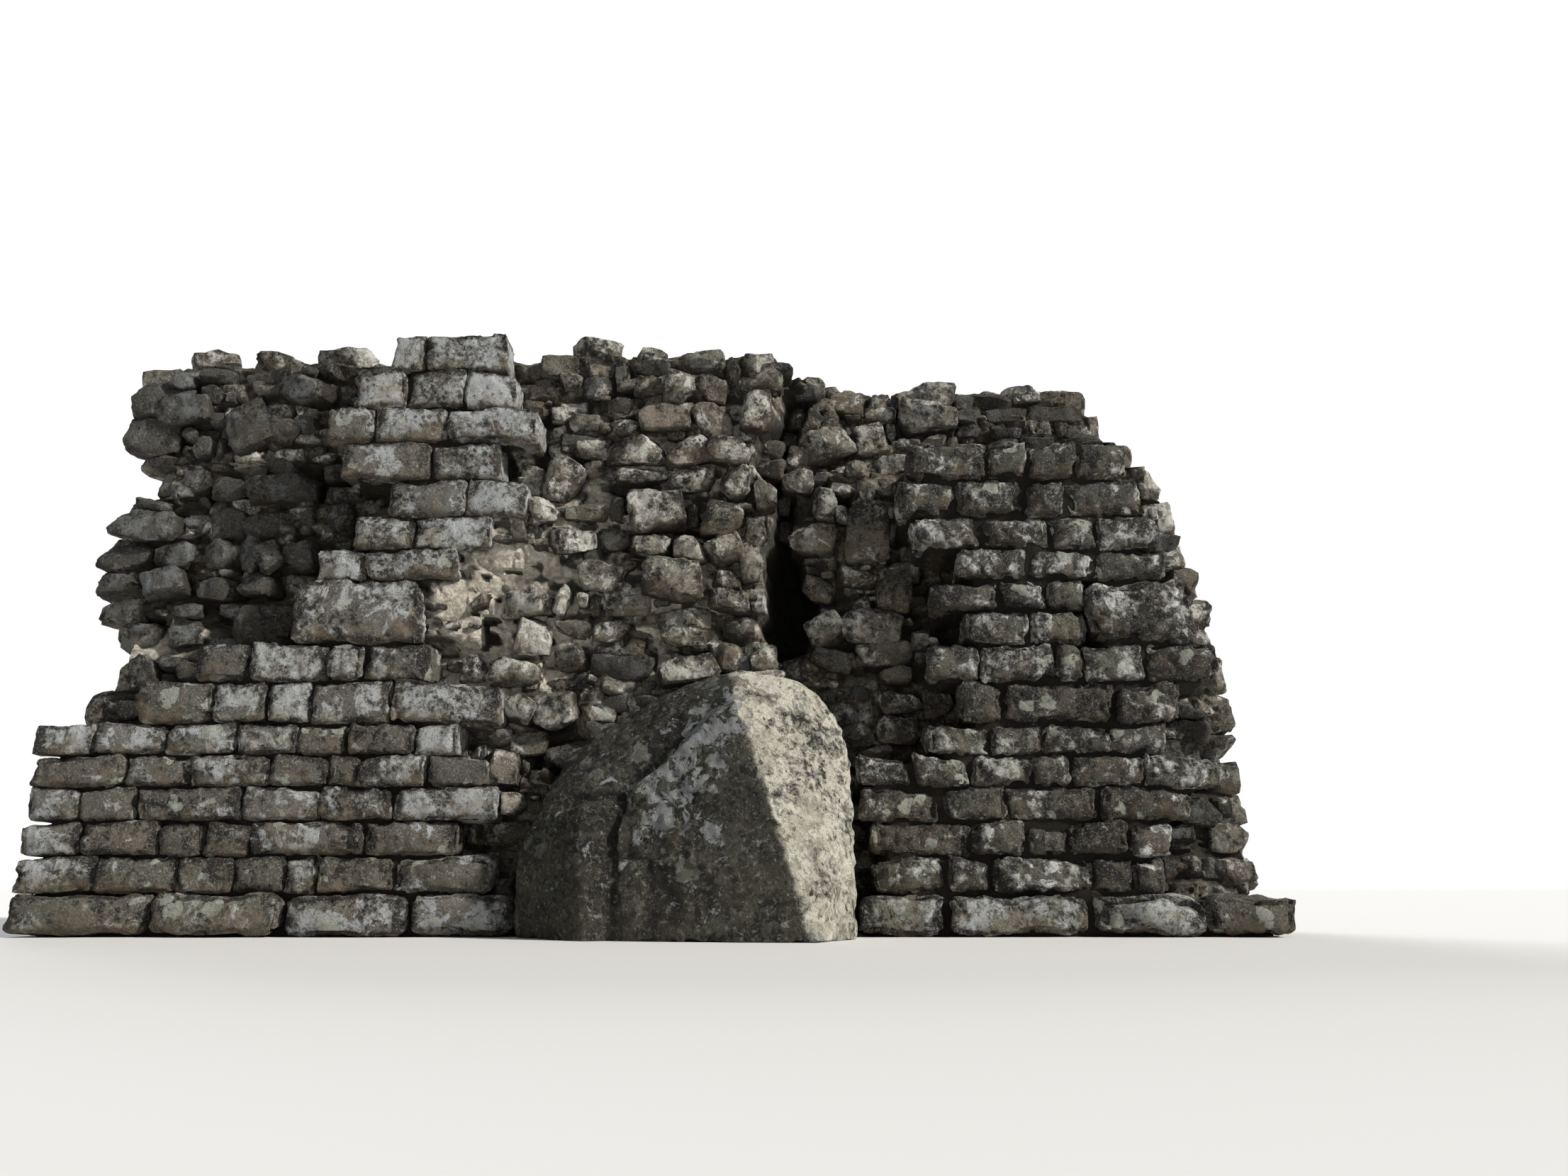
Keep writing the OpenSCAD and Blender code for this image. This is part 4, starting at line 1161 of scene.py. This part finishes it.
def boulderSurface(style):
    # Latitude and longitude on a ball of rays from the boulder's heart, the longitudes crowded to the
    # front. Each ray stops at the nearest plane of the hull, by a soft minimum that rounds the
    # edges, and noise dents the skin.
    normals, reach = hullPlanes("built_in_boulder")
    low, high = (np.array(corner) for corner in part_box("built_in_boulder"))
    heart = (low + high) / 2
    heart[2] = style["heart"] * high[2]
    up = np.linspace(-math.pi / 2, math.pi / 2, style["up"] + 2)[1:-1]
    around = np.linspace(0, 2 * math.pi, style["around"] + 1)[:-1]
    around = around - style["crowd"] * np.cos(around)
    lat, lon = (g.ravel() for g in np.meshgrid(up, around, indexing="ij"))
    away = np.stack([np.cos(lat) * np.cos(lon), np.cos(lat) * np.sin(lon), np.sin(lat)], 1)
    away = np.concatenate([[[0, 0, -1.0]], away, [[0, 0, 1.0]]])
    total = np.zeros(len(away))
    for n, gap in zip(normals, reach - normals @ heart):
        total += (np.maximum(away @ n, 1e-4) / gap) ** style["sharp"]
    shape = away * (total ** (-1 / style["sharp"]))[:, None]
    spot = heart + shape
    x, z, forward = spot[:, 0], spot[:, 2], -away[:, 1]
    shape += away * (style["lump"] * layeredNoise(spot, style["lumpSize"], 131))[:, None]
    shape += away * (style["dent"] * layeredNoise(spot, style["dentSize"], 137))[:, None]
    shape += away * (style["grain"] * softNoise(spot, style["grainSize"], 139))[:, None]
    # the lower left swells out below and left of an open crack
    edgeX, edgeZ, slope = style["lobeTop"]
    edge = edgeZ + slope * (x - edgeX) + 0.02 * softNoise(spot, 0.12, 141)
    inside = np.minimum(edge - z, style["lobeSide"] - x - 0.04 * softNoise(spot, 0.2, 143))
    front = ease(forward, 0.1, 0.5)
    crack = ease(-np.abs(inside), -0.035, -0.005) * front * (0.25 + 0.75 * ease(z, 0.22, 0.45))
    shape += away * (style["lobe"] * ease(inside, 0.01, 0.07) * front - style["crack"] * crack)[:, None]
    # a seam runs slanting over the left side, and above it the face lies a little further back
    (x0, z0), (x1, z1) = style["seam"]
    long = math.hypot(x1 - x0, z1 - z0)
    along = ((x - x0) * (x1 - x0) + (z - z0) * (z1 - z0)) / long ** 2
    off = ((x - x0) * (z1 - z0) - (z - z0) * (x1 - x0)) / long
    off = off + 0.03 * softNoise(spot, 0.16, 145)
    held = ease(along, -0.05, 0.15) * ease(-along, -1.05, -0.85) * ease(forward, 0.1, 0.4)
    seam = held * ease(-np.abs(off), -0.05, 0)
    shape -= away * (style["groove"] * (0.6 * seam + 1.5 * held * ease(off, -0.01, 0.04)))[:, None]
    verts = heart + shape
    verts[:, 2] = np.maximum(verts[:, 2], 0.0)
    # the right facet is pale and warm beyond a ragged arris: painted light with pale crust, while the left
    # side keeps the dark colour as painted shade
    arrisX, arrisZ, lean = style["arris"]
    beyond = x - (arrisX + lean * (arrisZ - z)) + 0.022 * softNoise(spot, 0.06, 147)
    right = ease(beyond, -0.008, 0.022)
    grown = 0.55 * right * ease(layeredNoise(spot, 0.13, 149), 0.10, 0.45)
    patch = sum(np.exp(-((x - px) ** 2 + (z - pz) ** 2) / size ** 2) for px, pz, size in style["patches"])
    patch = patch + 0.75 * np.exp(-((off + 0.11) / 0.10) ** 2) * held        # pale band beside the seam
    # painted shade on the left side, darkest in the seam and the crack and on the slab above the seam; the
    # arris value carries it into dark growth
    shade = 0.9 + 0.9 * seam + 1.0 * crack + 0.5 * held * ease(off, 0, 0.05)
    facts = {"tone": 0.98 * right, "warm": 0.3 * right, "arris": shade * (1 - right) + grown,
             "patch": np.clip(patch, 0, 1) * ease(forward, 0.0, 0.3),
             "tail": np.zeros(len(verts)), "low": np.clip(1 - verts[:, 2] / high[2], 0, 1)}
    return verts, ringQuads(len(up), len(around)) + 1, poleFans(len(up), len(around)), facts


makePiece("builtInBoulder", boulderSurface(boulder), stoneMaterial("boulderGranite", boulderLook),
          ["built_in_boulder"])


# Wall head

headStyle = dict(rubble, seed=808, soil=0.0, smallStones=150)   # no soil, because their faces look up
headHeap = StoneHeap()
headRng = np.random.default_rng(headStyle["seed"])
bigHeadStones = [                                 # middle, width, depth and rise
    (-2.65, -0.06, 0.30, 0.22, 0.15), (-2.26, -0.07, 0.28, 0.20, 0.13), (-1.90, -0.06, 0.28, 0.22, 0.18),
    (-0.43, -0.18, 0.25, 0.22, 0.18), (-0.13, -0.19, 0.19, 0.17, 0.12), (0.16, -0.16, 0.26, 0.22, 0.11),
    (0.86, 0.36, 0.22, 0.18, 0.12), (1.48, 0.38, 0.26, 0.18, 0.15), (2.06, 0.37, 0.20, 0.18, 0.12),
]
for x, y, width, deep, rise in bigHeadStones:
    half = np.array([width, deep, rise]) / 2
    turn = headRng.normal(0, [0.06, 0.06, 0.4])
    headHeap.add((x, y, core["top"] + rise / 2), half, (9, 8, 7, 4), turn, 1.0,
                 headRng.uniform(0.4, 0.9), headRng.uniform(0, 0.4))
for i in range(headStyle["smallStones"]):
    x = headRng.uniform(-2.95, 2.3)
    y = headRng.uniform(at(bareFront, x, 3.0) + 0.10, 0.50)
    half = headRng.uniform(0.045, 0.100, 3) * np.array([1.6, 1.2, 0.50])
    turn = headRng.normal(0, [0.07, 0.07, 0.5])
    headHeap.add((x, y, core["top"] + half[2] * 0.1), half, (5, 4, 3, 3), turn, 1.0,
                 headRng.uniform(0, 0.9), headRng.uniform(0, 0.6))
makePiece("headStones", brokenStones(headHeap, headStyle), stoneMaterial("headGranite", rubbleLook),
          ["head_stones"])


# Stage, light and camera

floorHalf = 30.0
floorMesh = bpy.data.meshes.new("floor")
floorMesh.from_pydata([(x * floorHalf, y * floorHalf, -0.001)
                       for x, y in ((-1, -1), (1, -1), (1, 1), (-1, 1))], [], [(0, 1, 2, 3)])
floor = bpy.data.objects.new("floor", floorMesh)
bpy.context.scene.collection.objects.link(floor)
paleFloor = bpy.data.materials.new("paleFloor")
paleFloor.use_nodes = True
floorShader = paleFloor.node_tree.nodes["Principled BSDF"]
floorShader.inputs["Base Color"].default_value = (0.80, 0.80, 0.79, 1)
floorShader.inputs["Roughness"].default_value = 1.0
floor.data.materials.append(paleFloor)

lamps = {
    "keyLight": {"towards": (0.79, -0.34, 0.51), "strength": 4.1, "angle": 0.08,
                 "colour": (1.0, 0.96, 0.90)},
    "rearLight": {"towards": (-0.30, 0.80, 0.52), "strength": 1.7, "angle": 0.60,
                  "colour": (0.95, 0.97, 1.0)},
}
sky = {"colour": (0.93, 0.96, 1.0, 1), "strength": 0.20}
for name, setting in lamps.items():
    lamp = bpy.data.objects.new(name, bpy.data.lights.new(name, "SUN"))
    lamp.data.energy, lamp.data.angle = setting["strength"], setting["angle"]
    lamp.data.color = setting["colour"]
    aim = np.array(setting["towards"]) / np.linalg.norm(setting["towards"])
    lamp.rotation_euler = (math.acos(aim[2]), 0, math.atan2(aim[1], aim[0]) + math.pi / 2)
    bpy.context.scene.collection.objects.link(lamp)

world = bpy.data.worlds.new("studioWorld")
world.use_nodes = True
tree = world.node_tree
soft = tree.nodes["Background"]
soft.inputs["Color"].default_value = sky["colour"]
soft.inputs["Strength"].default_value = sky["strength"]
white = addNode(tree, "ShaderNodeBackground", {"Color": (1, 1, 1, 1), "Strength": 1.0})
path = addNode(tree, "ShaderNodeLightPath")
mirrored = joined(tree, "MAXIMUM", path.outputs["Is Glossy Ray"], path.outputs["Is Transmission Ray"])
seen = joined(tree, "MAXIMUM", path.outputs["Is Camera Ray"], mirrored)
blend = addNode(tree, "ShaderNodeMixShader", {0: seen, 1: soft.outputs[0], 2: white.outputs[0]})
tree.links.new(blend.outputs[0], tree.nodes["World Output"].inputs["Surface"])
bpy.context.scene.world = world

# millimetres, metres, and the degrees by which the camera looks up
view = {"sensor": 36.0, "lens": 28.0, "place": (0.62, -6.6, 0.26), "up": 13.5}
camera = bpy.data.objects.new("camera", bpy.data.cameras.new("camera"))
camera.data.sensor_width, camera.data.lens = view["sensor"], view["lens"]
camera.location = view["place"]
camera.rotation_euler = (math.radians(90 + view["up"]), 0, 0)
bpy.context.scene.collection.objects.link(camera)
bpy.context.scene.camera = camera
bpy.context.scene.view_settings.view_transform = "Standard"
print("stage, light and camera placed")
